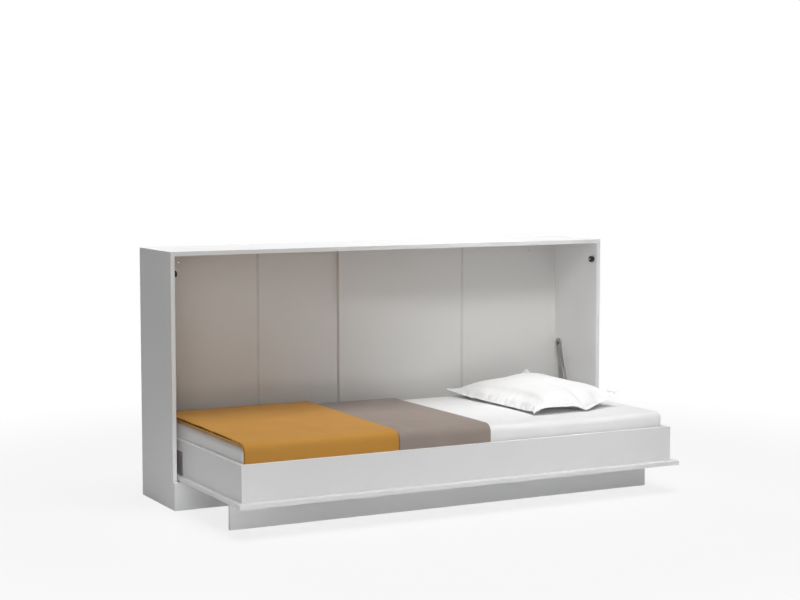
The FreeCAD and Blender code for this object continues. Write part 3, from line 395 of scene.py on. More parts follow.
OCHRE_SATEEN = Woven("ochre_sateen", (0.79, 0.575, 0.255), shadow=(0.755, 0.54, 0.225),
                     roughness=0.7, sheen=0.08)
TAUPE_COTTON = Woven("taupe_cotton", (0.62, 0.572, 0.54), shadow=(0.585, 0.535, 0.505),
                     threads=1200.0, sheen=0.1)


# --- pieces
def mesh_of(bm: BMesh, name: str) -> bpy.types.Mesh:
    """Turns a finished bmesh into a mesh.

    Args:
        bm: the bmesh; it is freed.
        name: the mesh's name.

    Returns:
        The mesh.
    """
    mesh = bpy.data.meshes.new(name)
    bm.to_mesh(mesh)
    bm.free()
    return mesh


def put(name: str, data: bpy.types.ID) -> bpy.types.Object:
    """Puts a new object into the scene.

    Args:
        name: the object's name.
        data: its mesh, lamp or camera.

    Returns:
        The object.
    """
    made = bpy.data.objects.new(name, data)
    bpy.context.scene.collection.objects.link(made)
    return made


def piece(bm: BMesh, name: str, finish: Finish) -> bpy.types.Object:
    """Turns a finished bmesh into a smooth piece that rides on the bed.

    Args:
        bm: the mesh in the frame's axes; it is freed.
        name: the piece's name.
        finish: what it is dressed in.

    Returns:
        The new object.
    """
    mesh = mesh_of(bm, name)
    mesh.polygons.foreach_set("use_smooth", [True] * len(mesh.polygons))
    mesh.materials.append(finish.material())
    made = put(name, mesh)
    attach(made, BED_BODY)
    LOG.info("%s: %d faces", name, len(mesh.polygons))
    return made


def thicken(obj: bpy.types.Object, thickness: float) -> None:
    """Gives a single layer of cloth its thickness, half to each side."""
    wall = obj.modifiers.new("cloth_thickness", "SOLIDIFY")
    wall.thickness = thickness
    wall.offset = 0.0


def dress(finish: Finish, *nodes: str) -> None:
    """Gives frame nodes a finish.

    Args:
        finish: what they are dressed in.
        nodes: the nodes' names.
    """
    for name in nodes:
        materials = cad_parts[name].data.materials
        materials.clear()
        materials.append(finish.material())
    LOG.info("%s on %s", finish.name, ", ".join(nodes))


def ease_edges(width: float, *nodes: str) -> None:
    """Eases the sharp edges of frame nodes with modifiers.

    Args:
        width: how far the easing goes in from each edge.
        nodes: the nodes' names.
    """
    for name in nodes:
        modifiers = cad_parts[name].modifiers
        weld = modifiers.new("weld", "WELD")
        weld.merge_threshold = 1e-5
        bevel = modifiers.new("eased_edges", "BEVEL")
        bevel.width = width
        bevel.segments = 2
        bevel.limit_method = "ANGLE"
        bevel.angle_limit = math.radians(40)
        bevel.use_clamp_overlap = False
        bevel.harden_normals = True


def smooth_step(value: float, low: float, high: float) -> float:
    """Smooth step from 0 at low to 1 at high."""
    share = min(1.0, max(0.0, (value - low) / (high - low)))
    return share * share * (3 - 2 * share)


def drift(x: float, y: float, z: float) -> float:
    """Smooth noise from -1 to 1."""
    return noise.noise(Vector((x, y, z)))


def ridged(x: float, y: float, seed: float) -> float:
    """Noise from -3 to 1 with sharp ridges, as creased cloth has."""
    return 1 - 4 * abs(drift(x, y, seed))


def stations(*runs: Pair) -> list[float]:
    """Places along a line made of stretches that are cut finely or coarsely.

    Args:
        runs: length and wanted cell size of each stretch.

    Returns:
        The places, from 0 to the line's end.
    """
    places = [0.0]
    for length, cell in runs:
        count = max(1, round(length / cell))
        start = places[-1]
        places += [start + length * step / count for step in range(1, count + 1)]
    return places


def cloth_grid(across: list[float], along: list[float]) -> BMesh:
    """Flat cloth cut at given places, whose map holds metres of cloth.

    Args:
        across: places of the cuts on X.
        along: places of the cuts on Y.

    Returns:
        The cloth's bmesh.
    """
    bm = bmesh.new()
    columns, rows = len(across) - 1, len(along) - 1
    bmesh.ops.create_grid(bm, x_segments=columns, y_segments=rows, size=0.5)
    for vert in bm.verts:
        vert.co.x = across[round((vert.co.x + 0.5) * columns)]
        vert.co.y = along[round((vert.co.y + 0.5) * rows)]
    layer = bm.loops.layers.uv.new("cloth")
    for face in bm.faces:
        for loop in face.loops:
            loop[layer].uv = loop.vert.co.xy
    return bm


def map_cloth_by_side(bm: BMesh) -> None:
    """Maps metres of cloth onto a closed piece by the way each face looks.

    Args:
        bm: the piece's bmesh.
    """
    layer = bm.loops.layers.uv.new("cloth")
    for face in bm.faces:
        level = abs(face.normal.z) > 0.7
        endwise = abs(face.normal.x) > abs(face.normal.y)
        for loop in face.loops:
            x, y, z = loop.vert.co
            loop[layer].uv = (x, y) if level else ((y, z) if endwise else (x, z))


def through(knots: Knots, share: float) -> Vector:
    """Point of the smooth curve through a row of knots.

    Args:
        knots: share of the curve and place of each knot.
        share: the wanted share, from 0 to 1.

    Returns:
        The point.
    """
    last = len(knots) - 1
    index = next((i for i in range(last) if share <= knots[i + 1][0]), last - 1)

    def slope(i: int) -> Vector:
        """Rate of change at a knot, from its neighbours."""
        before, after = knots[max(0, i - 1)], knots[min(last, i + 1)]
        return (after[1] - before[1]) / (after[0] - before[0])

    start, end = knots[index], knots[index + 1]
    span = end[0] - start[0]
    t = min(1.0, max(0.0, (share - start[0]) / span))
    square, cube = t * t, t * t * t
    return ((2 * cube - 3 * square + 1) * start[1]
            + (cube - 2 * square + t) * span * slope(index)
            + (3 * square - 2 * cube) * end[1] + (cube - square) * span * slope(index + 1))


# --- hard pieces
@dataclass
class Cupboard:
    """The white case: boards, back wall, dowels, cams and closing stops."""

    ease: float = 0.0006

    def build(self) -> None:
        """Dresses the case's nodes."""
        boards = ("left_side_panel", "right_side_panel", "top_panel", "base_board", "plinth_board")
        dress(WHITE_BOARD, *boards, "rear_top_rail", "rear_bottom_rail")
        dress(BACK_BOARD, "back_centre_board", "back_panel_far_left", "back_panel_near_left",
              "back_panel_near_right", "back_panel_far_right")
        ease_edges(self.ease, *boards, "back_centre_board")
        dress(JOINT_STRIP, "back_joint_strip_left", "back_joint_strip_right")
        dress(PINE, "cabinet_dowels")
        dress(ZINC, "cabinet_cams", "cabinet_cam_bolts", "stop_bolts")
        dress(PALE_COAT, "back_panel_screws")
        dress(RUBBER, "stop_rollers")


@dataclass
class FoldFittings:
    """Brackets, plates, pins and gas struts at both ends of the bed."""

    def build(self) -> None:
        """Dresses the fittings' nodes."""
        for side in ("left", "right"):
            dress(BRACKET_GREY, f"{side}_side_bracket")
            # The pivot plates' darkened coat is painted shade for the gap beside the side panel.
            dress(PLATE_PAINTED_SHADE, f"{side}_pivot_plate")
            dress(ZINC, f"{side}_pivot_pin")
            dress(ROD_STEEL, f"{side}_strut_rod")
            dress(STRUT_GREY, f"{side}_strut_cylinder")
        dress(ZINC, "crank_studs", "strut_top_studs", "side_bracket_screws", "pivot_plate_screws")
        dress(BUSH_PLASTIC, "pivot_bushes")


@dataclass
class BedBox:
    """Rails, front panel, slatted base, leg board and their hinges."""

    ease: float = 0.0006

    def build(self) -> None:
        """Dresses the bed box's nodes."""
        boards = ("bed_front_rail", "bed_rear_rail", "left_bed_end_rail", "right_bed_end_rail",
                  "front_panel", "leg_board")
        dress(WHITE_BOARD, *boards)
        ease_edges(self.ease, *boards)
        dress(PINE, "front_slat_ledge", "rear_slat_ledge")
        dress(CROSS_PINE, "left_end_ledge", "right_end_ledge")
        dress(SLAT_WOOD, "slats")
        dress(GREY_PLASTIC, "slat_holders")
        dress(ZINC, "frame_corner_angles", "corner_angle_screws", "ledge_screws",
              "leg_hinge_door_leaves", "leg_hinge_pins", "leg_hinge_door_screws",
              "leg_hinge_leg_leaves", "leg_hinge_leg_screws")


# --- mattress
@dataclass
class Mattress:
    """Foam mattress in ticking, with a fitted sheet pulled over it."""

    corner: float = 0.018
    rim: float = 0.026
    foot: float = 0.012
    room: float = 0.0022
    fill_right: float = 0.0125
    cell: float = 0.02
    cloth: float = 0.0009
    slack: float = 0.0003
    headroom: float = 0.0004
    under: float = 0.09
    ripple: float = 0.0012
    pull_reach: float = 0.16
    pull_turns: Pair = (95.0, 60.0)
    facing: float = 0.9
    fill: float = 0.9

    def __post_init__(self) -> None:
        """Takes the core's lowest and highest corners from the frame's mattress."""
        low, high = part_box("mattress")
        inset = Vector((self.room, self.room, 0.0))
        self.low, self.high = low + inset, high - inset
        self.high += Vector((self.fill_right, 0.0, -self.cloth - self.headroom))

    def slab(self) -> BMesh:
        """Rounded slab between the two corners, cut into a fine grid.

        Returns:
            The closed slab.
        """
        low, high = self.low, self.high
        bm = bmesh.new()
        size = high - low
        bmesh.ops.create_cube(bm, size=1.0)
        bmesh.ops.scale(bm, vec=size, verts=bm.verts)
        bmesh.ops.translate(bm, vec=(low + high) / 2, verts=bm.verts)

        def rounded(edges: list[BMEdge], offset: float, segments: int) -> None:
            """Rounds some of the slab's edges."""
            bmesh.ops.bevel(bm, geom=edges, offset=offset, segments=segments, profile=0.5,
                            affect="EDGES", material=-1)

        rounded([e for e in bm.edges if abs(e.verts[0].co.z - e.verts[1].co.z) > size.z / 2],
                self.corner, 6)
        for level, offset, segments in ((high.z, self.rim, 5), (low.z, self.foot, 3)):
            rounded([e for e in bm.edges if all(abs(v.co.z - level) < 1e-5 for v in e.verts)],
                    offset, segments)
        for axis, start_inset, end_inset in ((0, self.corner, self.corner),
                                             (1, self.corner, self.corner),
                                             (2, self.foot, self.rim)):
            start, end = low[axis] + start_inset, high[axis] - end_inset
            count = round((end - start) / self.cell)
            normal = Vector([float(axis == index) for index in range(3)])
            for step in range(count + 1):
                spot = normal * (start + (end - start) * step / count)
                bmesh.ops.bisect_plane(bm, geom=bm.verts[:] + bm.edges[:] + bm.faces[:],
                                       dist=1e-6, plane_co=spot, plane_no=normal)
        bm.normal_update()
        return bm

    def tension(self, spot: Vector) -> float:
        """How far the sheet stands out at a place, pulled into folds towards its ends.

        Args:
            spot: the place.

        Returns:
            The share of the greatest ripple.
        """
        corner = min(abs(spot.x - self.low.x), abs(spot.x - self.high.x))
        phase = spot.x * self.pull_turns[0] + spot.z * self.pull_turns[1]
        pull = math.sin(phase) * math.exp(-corner / self.pull_reach)
        wave = drift(spot.x * 3.1, spot.y * 4.3, spot.z * 6.0)
        crease = drift(spot.x * 9.0 + spot.y * 5.0, spot.y * 14.0, spot.z * 9.0)
        return 0.45 * pull + 0.4 * wave + 0.3 * max(0.0, crease - 0.15)

    def open_below(self, sheet: BMesh) -> None:
        """Opens the closed sheet under the mattress, but for what is tucked in.

        Args:
            sheet: the sheet.
        """
        hidden = []
        for face in sheet.faces:
            x, y, _ = face.calc_center_median()
            inside = min(x - self.low.x, self.high.x - x, y - self.low.y, self.high.y - y)
            if face.normal.z < -self.facing and inside > self.under:
                hidden.append(face)
        bmesh.ops.delete(sheet, geom=hidden, context="FACES")

    def build(self) -> None:
        """Makes the mattress and its sheet."""
        core = self.slab()
        map_cloth_by_side(core)
        sheet = core.copy()
        core_piece = piece(core, "mattress_core", TICKING)
        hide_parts("mattress")
        self.open_below(sheet)
        for vert in sheet.verts:
            vert.co += vert.normal * (self.cloth / 2 + self.slack)
        for vert in sheet.verts:
            stand = max(0.0, self.tension(vert.co)) * self.ripple
            flat_share = 0.5 if vert.normal.z > self.facing else 1.0
            vert.co += vert.normal * stand * flat_share
        area = sum(face.calc_area() for face in sheet.faces)
        sheet_piece = piece(sheet, "fitted_sheet", WHITE_COTTON)
        thicken(sheet_piece, self.cloth)


# --- covers
@dataclass
class BedProfile:
    """Line across the bed over the mattress, from one rail to the other."""

    front: float
    rear: float
    top: float
    low: float
    radius: float = 0.026

    @classmethod
    def over(cls, node: str) -> "BedProfile":
        """Profile over the mattress that reaches as low as a cover's node."""
        low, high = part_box("mattress")
        return cls(low.y, high.y, high.z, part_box(node)[0].z)

    @property
    def lengths(self) -> tuple[float, float, float]:
        """Lengths of a drape, a bend and the top."""
        drop = self.top - self.radius - self.low
        return drop, self.radius * math.pi / 2, self.rear - self.front - 2 * self.radius

    @property
    def total(self) -> float:
        """Whole length of the line, with a drape and a bend at either side."""
        drop, bend, across = self.lengths
        return 2 * (drop + bend) + across

    def at(self, distance: float, offset: float) -> Pair:
        """Y and Z of a point beside the line.

        Args:
            distance: how far along the line, from the front.
            offset: how far out from the mattress.

        Returns:
            The point's Y and Z.
        """
        drop, bend, _ = self.lengths
        inside = min(distance, self.total - distance)
        edge, side = (self.front, 1.0) if distance < self.total / 2 else (self.rear, -1.0)
        if inside < drop:
            return edge - side * offset, self.low + inside
        if inside < drop + bend:
            angle, reach = (inside - drop) / self.radius, self.radius + offset
            return (edge + side * (self.radius - reach * math.cos(angle)),
                    self.top - self.radius + reach * math.sin(angle))
        return self.front + self.radius + distance - drop - bend, self.top + offset

    def cuts(self, cell: float) -> list[float]:
        """Places to cut cloth at, finer round the two bends."""
        drop, bend, across = self.lengths
        side = ((drop, cell), (bend, cell / 2))
        return stations(*side, (across, cell), *reversed(side))

    def level(self, distance: float) -> float:
        """1 on the top of the bed and 0 on the drapes."""
        drop, bend, _ = self.lengths
        return smooth_step(min(distance, self.total - distance), drop, drop + bend)


@dataclass
class Crease:
    """Small raised crease in a cover's top."""

    start: Vector
    end: Vector
    height: float = 0.004
    width: float = 0.010

    def rise(self, x: float, y: float) -> float:
        """Height of the crease at a place.

        Args:
            x: the place along the bed.
            y: the place across it.

        Returns:
            The height.
        """
        run = self.end - self.start
        spot = Vector((x, y)) - self.start
        share = max(0.0, min(1.0, spot.dot(run) / run.length_squared))
        away = (spot - run * share).length / self.width
        return self.height * math.exp(-away * away) * math.sin(math.pi * share)


@dataclass
class FoldedCover:
    """Cover lying double over the bed, its fold at the right and two rolled hems at the left.

    Its layers' heights are over the mattress.  The rises are those of the upper layer at the
    fold's front and back and at the hem, and drape is the one beside the rails.
    """

    node: str
    name: str
    finish: Finish
    slot: Slot
    left: float
    right: float
    front_rise: float
    back_rise: float
    hem_rise: float
    creases: tuple[Crease, ...] = ()
    cloth: float = 0.0026
    cell: float = 0.0105
    lower: float = 0.0022
    drape: float = 0.0066
    roll: float = 0.0020
    flat_roll: float = 0.0007
    step_back: float = 0.004
    thin: float = 0.72
    puff: float = 0.055
    ease: float = 0.15
    swell: float = 0.0012
    wander: float = 0.0016
    pucker: float = 0.0034
    pucker_reach: float = 0.013
    pucker_turns: Pair = (26.0, 9.0)
    hem_gap: float = 0.0
    hem_gap_reach: float = 0.03
    tuck: float = 0.0

    def __post_init__(self) -> None:
        """Takes the line across the bed from the frame."""
        self.profile = BedProfile.over(self.node)

    def fullness(self, along: float) -> float:
        """How thick the cover is at a place along the profile, 1 at the back."""
        return self.thin + (1 - self.thin) * smooth_step(along, 0.1, 0.5 * self.profile.total)

    def upper(self, x: float, along: float) -> float:
        """Height of the upper layer over the mattress.

        Args:
            x: place along the bed.
            along: distance along the profile.

        Returns:
            The distance out from the mattress.
        """
        inside = x - self.left
        rear = smooth_step(along, self.ease, self.profile.total - self.ease)
        full = self.front_rise + (self.back_rise - self.front_rise) * rear
        hem = self.hem_rise * self.fullness(along)
        top = hem + (full - hem) * smooth_step(inside, 0.0, self.puff)
        top += self.swell * (drift(x * 4.0, along * 5.0, 2.0)
                             + 0.4 * drift(x * 12.0, along * 10.0, 7.0))
        gather = ridged(along * self.pucker_turns[0], inside * self.pucker_turns[1], 3.0)
        top += self.pucker * gather * math.exp(-inside / self.pucker_reach)
        return self.drape + (top - self.drape) * self.profile.level(along)

    def under(self, x: float, level: float) -> float:
        """Height of the lower layer over the mattress, a little raised at its hem."""
        near_hem = 1 - smooth_step(x - self.left, 0.0, self.hem_gap_reach)
        return self.lower + self.hem_gap * level * near_hem

    @property
    def stretches(self) -> tuple[float, float, float, float, float]:
        """Lengths of cloth in the lower roll, lower layer, fold, upper layer and upper roll."""
        around = math.pi * self.roll
        half = (max(self.front_rise, self.back_rise) - self.lower) / 2
        straight = self.right - self.left - half - self.roll
        return around, straight, math.pi * half, straight - self.step_back, around

    def spot(self, run: float, along: float) -> Vector:
        """Place of a cloth point.

        Args:
            run: distance from the lower hem, through the fold, to the upper hem.
            along: distance along the profile, from the front.

        Returns:
            The place in the frame.
        """
        level = self.profile.level(along)
        roll = self.flat_roll + (self.roll - self.flat_roll) * level * self.fullness(along)
        hem = self.left + self.wander * drift(along * 9.0, 8.0, self.left)
        low_tip = hem + self.tuck * (1.0 - level) + roll
        high_tip = low_tip + self.step_back
        radius = (self.upper(self.right, along) - self.lower) / 2
        bend = self.right - radius
        part, share = 0, run
        for length in self.stretches[:-1]:
            if share < length:
                break
            part, share = part + 1, share - length
        share /= self.stretches[part]
        if part == 0:
            x = low_tip - roll * math.sin(math.pi * share)
            out = self.under(x, level) + roll + roll * math.cos(math.pi * share)
        elif part == 1:
            x = low_tip + (bend - low_tip) * share
            out = self.under(x, level)
        elif part == 2:
            x = bend + radius * math.sin(math.pi * share)
            out = self.lower + radius - radius * math.cos(math.pi * share)
        elif part == 3:
            x = bend - (bend - high_tip) * share
            out = self.upper(x, along)
        else:
            x = high_tip - roll * math.sin(math.pi * share)
            out = self.upper(high_tip, along) - roll + roll * math.cos(math.pi * share)
        y, z = self.profile.at(along, out)
        if part > 1:
            z += level * sum(crease.rise(x, y) for crease in self.creases)
        return Vector((x, y, z))

    def build(self) -> None:
        """Makes the folded cover."""
        around, straight, turn, back, _ = self.stretches
        hem, near = (around, around / 8), (0.04, self.cell / 3)
        across = stations(hem, (straight, self.cell), (turn, turn / 10),
                          (back - near[0], self.cell), near, hem)
        bm = cloth_grid(across, self.profile.cuts(self.cell))
        for vert in bm.verts:
            vert.co = self.spot(vert.co.x, vert.co.y)
        bm.normal_update()
        cover = piece(bm, self.name, self.finish)
        thicken(cover, self.cloth)
        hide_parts(self.node)


# --- pillow
@dataclass
class Dent:
    """A place of the pillow's cloth that is pushed, easing off round it."""

    across: float
    along: float
    push: Vector
    reach: float


@dataclass
class CornerFold:
    """A corner of the case that is folded up along a line across it."""

    across: float
    along: float
    depth: float
    angle: float

    def lift(self, flat: Vector, size: Vector, outward: Vector) -> Vector:
        """Shift of a flat point that lies beyond the fold.

        Args:
            flat: metres from the case's left near corner.
            size: the flat case's width and length.
            outward: level direction in the frame that the corner points to.

        Returns:
            The shift.
        """
        corner = Vector((self.across * size.x, self.along * size.y))
        inward = Vector((0.5 - self.across, 0.5 - self.along)).normalized()
        beyond = max(0.0, self.depth - (flat - corner).dot(inward))
        turned = Vector((0.0, 0.0, math.sin(self.angle)))
        return beyond * (outward * (math.cos(self.angle) - 1) + turned)


@dataclass
class PillowOutline:
    """The four edges of the pillow's case as it lies, with height over the mattress."""

    left: Knots
    near: Knots
    right: Knots
    back: Knots

    def at(self, across: float, along: float) -> Vector:
        """Place inside the four edges.

        Args:
            across: share from the left edge to the right one.
            along: share from the near edge to the back one.

        Returns:
            The place.
        """
        low, high = through(self.near, across), through(self.back, across)
        start, end = through(self.left, along), through(self.right, along)
        corners = ((1 - along) * ((1 - across) * self.near[0][1] + across * self.near[-1][1])
                   + along * ((1 - across) * self.back[0][1] + across * self.back[-1][1]))
        return (1 - along) * low + along * high + (1 - across) * start + across * end - corners


@dataclass
class Swell:
    """How one layer of the pillow swells inward from the left, right, near and back seams.

    Each side holds how far the swelling reaches and how gently it starts.
    """

    height: float
    sides: tuple[Pair, ...]

    def at(self, seams: tuple[float, ...]) -> float:
        """Height of the layer at a place.

        Args:
            seams: the place's distances inward from the four seams.

        Returns:
            The height, 0 at the seams.
        """
        share = 1.0
        for distance, (reach, gentle) in zip(seams, self.sides):
            left = 1 - min(1.0, max(0.0, distance) / reach)
            share *= (1 - left * left) ** gentle
        return self.height * share


@dataclass
class Case:
    """The pillow's case while it is made.

    Twins holds the lower layer's vertex below each of the upper one's, and flats holds the
    flat place of every vertex.
    """

    bm: BMesh
    twins: dict[int, int]
    flats: list[Vector]


@dataclass
class Gathers:
    """Creases where the case's cloth is gathered: pushes, reaches and turns in each metre."""

    left_edge: float = 0.0040
    other_edges: float = 0.0014
    edge_reach: float = 0.03
    edge_turns: Pair = (21.0, 7.0)
    seam: float = 0.0018
    seam_width: float = 0.004
    corner: float = 0.0055
    corner_reach: float = 0.055
    corner_turns: Pair = (3.2, 8.0)
    fine: float = 0.0026
    fine_reach: float = 0.02
    fine_turns: Pair = (38.0, 22.0)


@dataclass
class Pillow:
    """Pillow in a case with a sewn flange, formed in its outline and then blown up as cloth."""

    outline: PillowOutline
    folds: tuple[CornerFold, ...]
    dents: tuple[Dent, ...]
    upper: Swell
    lower: Swell
    gathers: Gathers = field(default_factory=Gathers)
    width: float = 0.475
    length: float = 0.715
    flange: float = 0.017
    open_flange: float = 0.038
    fine_band: float = 0.035
    fine_cell: float = 0.005
    rim_cell: float = 0.0045
    cell: float = 0.009
    gap: float = 0.0016
    cloth: float = 0.0012
    droop: float = 0.026
    droop_ends: Pair = (0.09, 0.14)
    droop_fade: Pair = (0.06, 0.25)
    clearance: float = 0.0012
    seam_clearance: float = 0.0026
    form_clearance: float = 0.0015
    pressure: float = 4.0
    surplus: float = 0.02
    frames: int = 20
    cap: float = 0.010
    free_band: Pair = (-0.004, 0.035)
    lower_share: float = 0.3
    fill: float = 0.55

    def __post_init__(self) -> None:
        """Takes the height of the mattress from the frame."""
        self.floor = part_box("mattress")[1].z

    def seams(self, flat: Vector) -> tuple[float, float, float, float]:
        """Distances inward from the left, right, near and back seams, below 0 in the flange."""
        return (flat.x - self.open_flange, self.width - self.flange - flat.x,
                flat.y - self.flange, self.length - self.flange - flat.y)

    def inside(self, flat: Vector) -> float:
        """Distance inward from the nearest seam."""
        return min(self.seams(flat))

    def formed(self, flat: Vector, upper: bool) -> Vector:
        """Where a flat point lies before the cloth is blown up.

        Args:
            flat: metres from the case's left near corner.
            upper: whether it is on the upper layer.

        Returns:
            The place in the frame.
        """
        spot = self.outline.at(flat.x / self.width, flat.y / self.length)
        near, far = self.droop_ends
        ends = smooth_step(flat.y, 0.0, near) * smooth_step(self.length - flat.y, 0.0, far)
        at_left = smooth_step(flat.x, 0.0, self.open_flange)
        spot.z += self.droop * at_left * ends * (1 - smooth_step(flat.x, *self.droop_fade))
        swell, side = (self.upper, 1.0) if upper else (self.lower, -1.0)
        spot.z += side * (self.gap / 2 + swell.at(self.seams(flat)))
        spot.z += self.floor
        spot.z = max(spot.z, self.floor + self.form_clearance)
        return spot

    def sewn(self) -> Case:
        """Forms two flat layers in the outline and joins them round their rim.

        Returns:
            The case.
        """
        fine, rim_cells = (self.fine_band, self.fine_cell), (self.flange, self.rim_cell)
        wide = self.width - self.open_flange - self.flange - 2 * self.fine_band
        long = self.length - 2 * self.flange - 2 * self.fine_band
        bm = cloth_grid(
            stations((self.open_flange, self.rim_cell), fine, (wide, self.cell), fine, rim_cells),
            stations(rim_cells, fine, (long, self.cell), fine, rim_cells))
        rim = [e for e in bm.edges if e.is_boundary]
        upper = bm.verts[:]
        made = bmesh.ops.duplicate(bm, geom=bm.verts[:] + bm.edges[:] + bm.faces[:])
        bmesh.ops.reverse_faces(bm, faces=[f for f in made["geom"]
                                           if isinstance(f, BMFace)])
        bm.verts.index_update()
        twins = {v.index: made["vert_map"][v].index for v in upper}
        flats = [v.co.xy.copy() for v in bm.verts]
        for vert in bm.verts:
            vert.co = self.formed(flats[vert.index], vert.index in twins)
        bmesh.ops.bridge_loops(bm, edges=rim + [made["edge_map"][e] for e in rim])
        bmesh.ops.recalc_face_normals(bm, faces=bm.faces)
        bm.verts.ensure_lookup_table()
        return Case(bm, twins, flats)

    def blow_up(self, mesh: bpy.types.Mesh) -> list[Vector]:
        """Blows the formed case up as cloth, over the mattress.

        Args:
            mesh: the formed case, with loose edges that tie its flange.

        Returns:
            Every vertex's place at the end.
        """
        scene = bpy.context.scene
        rest = bmesh.new()
        bmesh.ops.create_grid(rest, x_segments=1, y_segments=1, size=1.2)
        bmesh.ops.translate(rest, vec=(0.6, 0.0, self.floor), verts=rest.verts)
        blown, ground = put("pillow_form", mesh), put("pillow_rest", mesh_of(rest, "pillow_rest"))
        ground.modifiers.new("rest", "COLLISION")
        ground.collision.thickness_outer = 0.001
        cloth = blown.modifiers.new("form", "CLOTH")
        springs = {"quality": 6, "mass": 0.3, "tension_stiffness": 15, "compression_stiffness": 15,
                   "shear_stiffness": 5, "bending_stiffness": 0.3, "air_damping": 4,
                   "shrink_min": -self.surplus, "use_pressure": True,
                   "uniform_pressure_force": self.pressure, "use_sewing_springs": True}
        for key, value in springs.items():
            setattr(cloth.settings, key, value)
        cloth.settings.effector_weights.gravity = 0.0
        cloth.collision_settings.distance_min = 0.001
        cloth.point_cache.frame_end = self.frames
        for number in range(1, self.frames + 1):
            scene.frame_set(number)
        formed = blown.evaluated_get(bpy.context.evaluated_depsgraph_get())
        places = [v.co.copy() for v in formed.data.vertices]
        scene.frame_set(1)
        for obj in (blown, ground):
            bpy.data.objects.remove(obj)
        return places

    def relax(self, case: Case) -> None:
        """Moves the case part of the way to where its cloth goes when it is blown up.

        Args:
            case: the sewn case; its flange stays where it was formed.
        """
        tied = case.bm.copy()
        tied.verts.ensure_lookup_table()
        flange = [a for a in case.twins if self.inside(case.flats[a]) < 0]
        for a in flange:
            pair = tied.verts[a], tied.verts[case.twins[a]]
            if not tied.edges.get(pair):
                tied.edges.new(pair)
        places = self.blow_up(mesh_of(tied, "pillow_form"))
        moves = [place - vert.co for place, vert in zip(places, case.bm.verts)]
        shift = sum((moves[a] for a in flange), Vector()) / len(flange)
        moves = [move - shift for move in moves]
        LOG.info("pillow cloth moved up to %.0f mm", 1000 * max(move.length for move in moves))
        for vert, move in zip(case.bm.verts, moves):
            free = smooth_step(self.inside(case.flats[vert.index]), *self.free_band)
            share = free if vert.index in case.twins else self.lower_share * free
            vert.co += share * move * min(1.0, self.cap / max(move.length, 1e-9))

    def crumple(self, flat: Vector) -> float:
        """How far the case stands out where its cloth is gathered.

        Args:
            flat: metres from the case's left near corner.

        Returns:
            The push in metres.
        """
        gathers = self.gathers
        inside = self.inside(flat)
        depth = max(0.0, inside)
        at_left = flat.x < min(flat.y, self.length - flat.y, self.width - flat.x) + 0.02
        run, edge = (flat.y, flat.x) if at_left else (flat.x, flat.y)

        def ridges(turns: Pair, seed: float) -> float:
            """Ridges that run in from the nearest edge."""
            return ridged(run * turns[0], edge * turns[1], seed)

        push = gathers.left_edge if at_left else gathers.other_edges
        push *= ridges(gathers.edge_turns, 2.0) * math.exp(-depth / gathers.edge_reach)
        push -= gathers.seam * math.exp(-(inside / gathers.seam_width) ** 2)
        turn, out = gathers.corner_turns
        for x in (0.0, self.width):
            for y in (0.0, self.length):
                arm = flat - Vector((x, y))
                angle = math.atan2(abs(arm.y), abs(arm.x))
                push += (gathers.corner * math.exp(-arm.length / gathers.corner_reach)
                         * ridged(angle * turn, arm.length * out, x * 9 + y * 5))
        if at_left:
            fine = ridges(gathers.fine_turns, 6.0)
            push += gathers.fine * fine * math.exp(-depth / gathers.fine_reach)
        return push

    def settle(self, case: Case) -> None:
        """Folds, dents and creases the case, and closes its flange.

        Args:
            case: the case.
        """
        bm, twins, flats = case.bm, case.twins, case.flats
        size = Vector((self.width, self.length))
        for fold in self.folds:
            outward = self.outline.at(fold.across, fold.along) - self.outline.at(0.5, 0.5)
            outward.z = 0.0
            for vert in bm.verts:
                vert.co += fold.lift(flats[vert.index], size, outward.normalized())
        for dent in self.dents:
            home = Vector((dent.across * self.width, dent.along * self.length))
            for vert in bm.verts:
                away = (flats[vert.index] - home).length / dent.reach
                vert.co += dent.push * math.exp(-away * away)
        bm.normal_update()
        pushes = [vert.normal * self.crumple(flats[vert.index])
                  * (1.0 if vert.index in twins else -0.5) for vert in bm.verts]
        flange = {a: b for a, b in twins.items() if self.inside(flats[a]) < 0.001}
        for a, b in flange.items():
            first, second = bm.verts[a], bm.verts[b]
            middle = (first.co + second.co) / 2 + pushes[a]
            out = (first.normal - second.normal).normalized() * self.cloth / 2
            first.co, second.co = middle + out, middle - out
        held = set(flange) | set(flange.values())
        for vert in bm.verts:
            if vert.index not in held:
                vert.co += pushes[vert.index]
            room = self.seam_clearance if vert.index in flange else self.clearance
            vert.co.z = max(vert.co.z, self.floor + room)
        bm.normal_update()

    def build(self) -> None:
        """Makes the pillow."""
        case = self.sewn()
        self.relax(case)
        self.settle(case)
        pillow = piece(case.bm, "pillow_in_case", WHITE_COTTON)
        finer = pillow.modifiers.new("finer", "SUBSURF")
        finer.levels = finer.render_levels = 1
        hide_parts("pillow")


# --- camera and studio
@dataclass
class PhotoCamera:
    """Camera at the photograph's place for a frame 800 wide and 600 high."""

    place: Vector = field(default_factory=lambda: Vector((-3.59272, -6.69631, 1.52723)))
    yaw: float = 0.48418
    dip: float = 0.08839
    focal_pixels: float = 1747.7
    frame_width: float = 800.0
    sensor: float = 36.0

    def build(self) -> None:
        """Makes the scene's camera."""
        data = bpy.data.cameras.new("photo_camera")
        data.sensor_width = self.sensor
        data.lens = self.focal_pixels * self.sensor / self.frame_width
        data.clip_end = 100.0
        camera = put("photo_camera", data)
        camera.location = self.place
        camera.rotation_euler = (math.pi / 2 - self.dip, 0.0, -self.yaw)
        bpy.context.scene.camera = camera


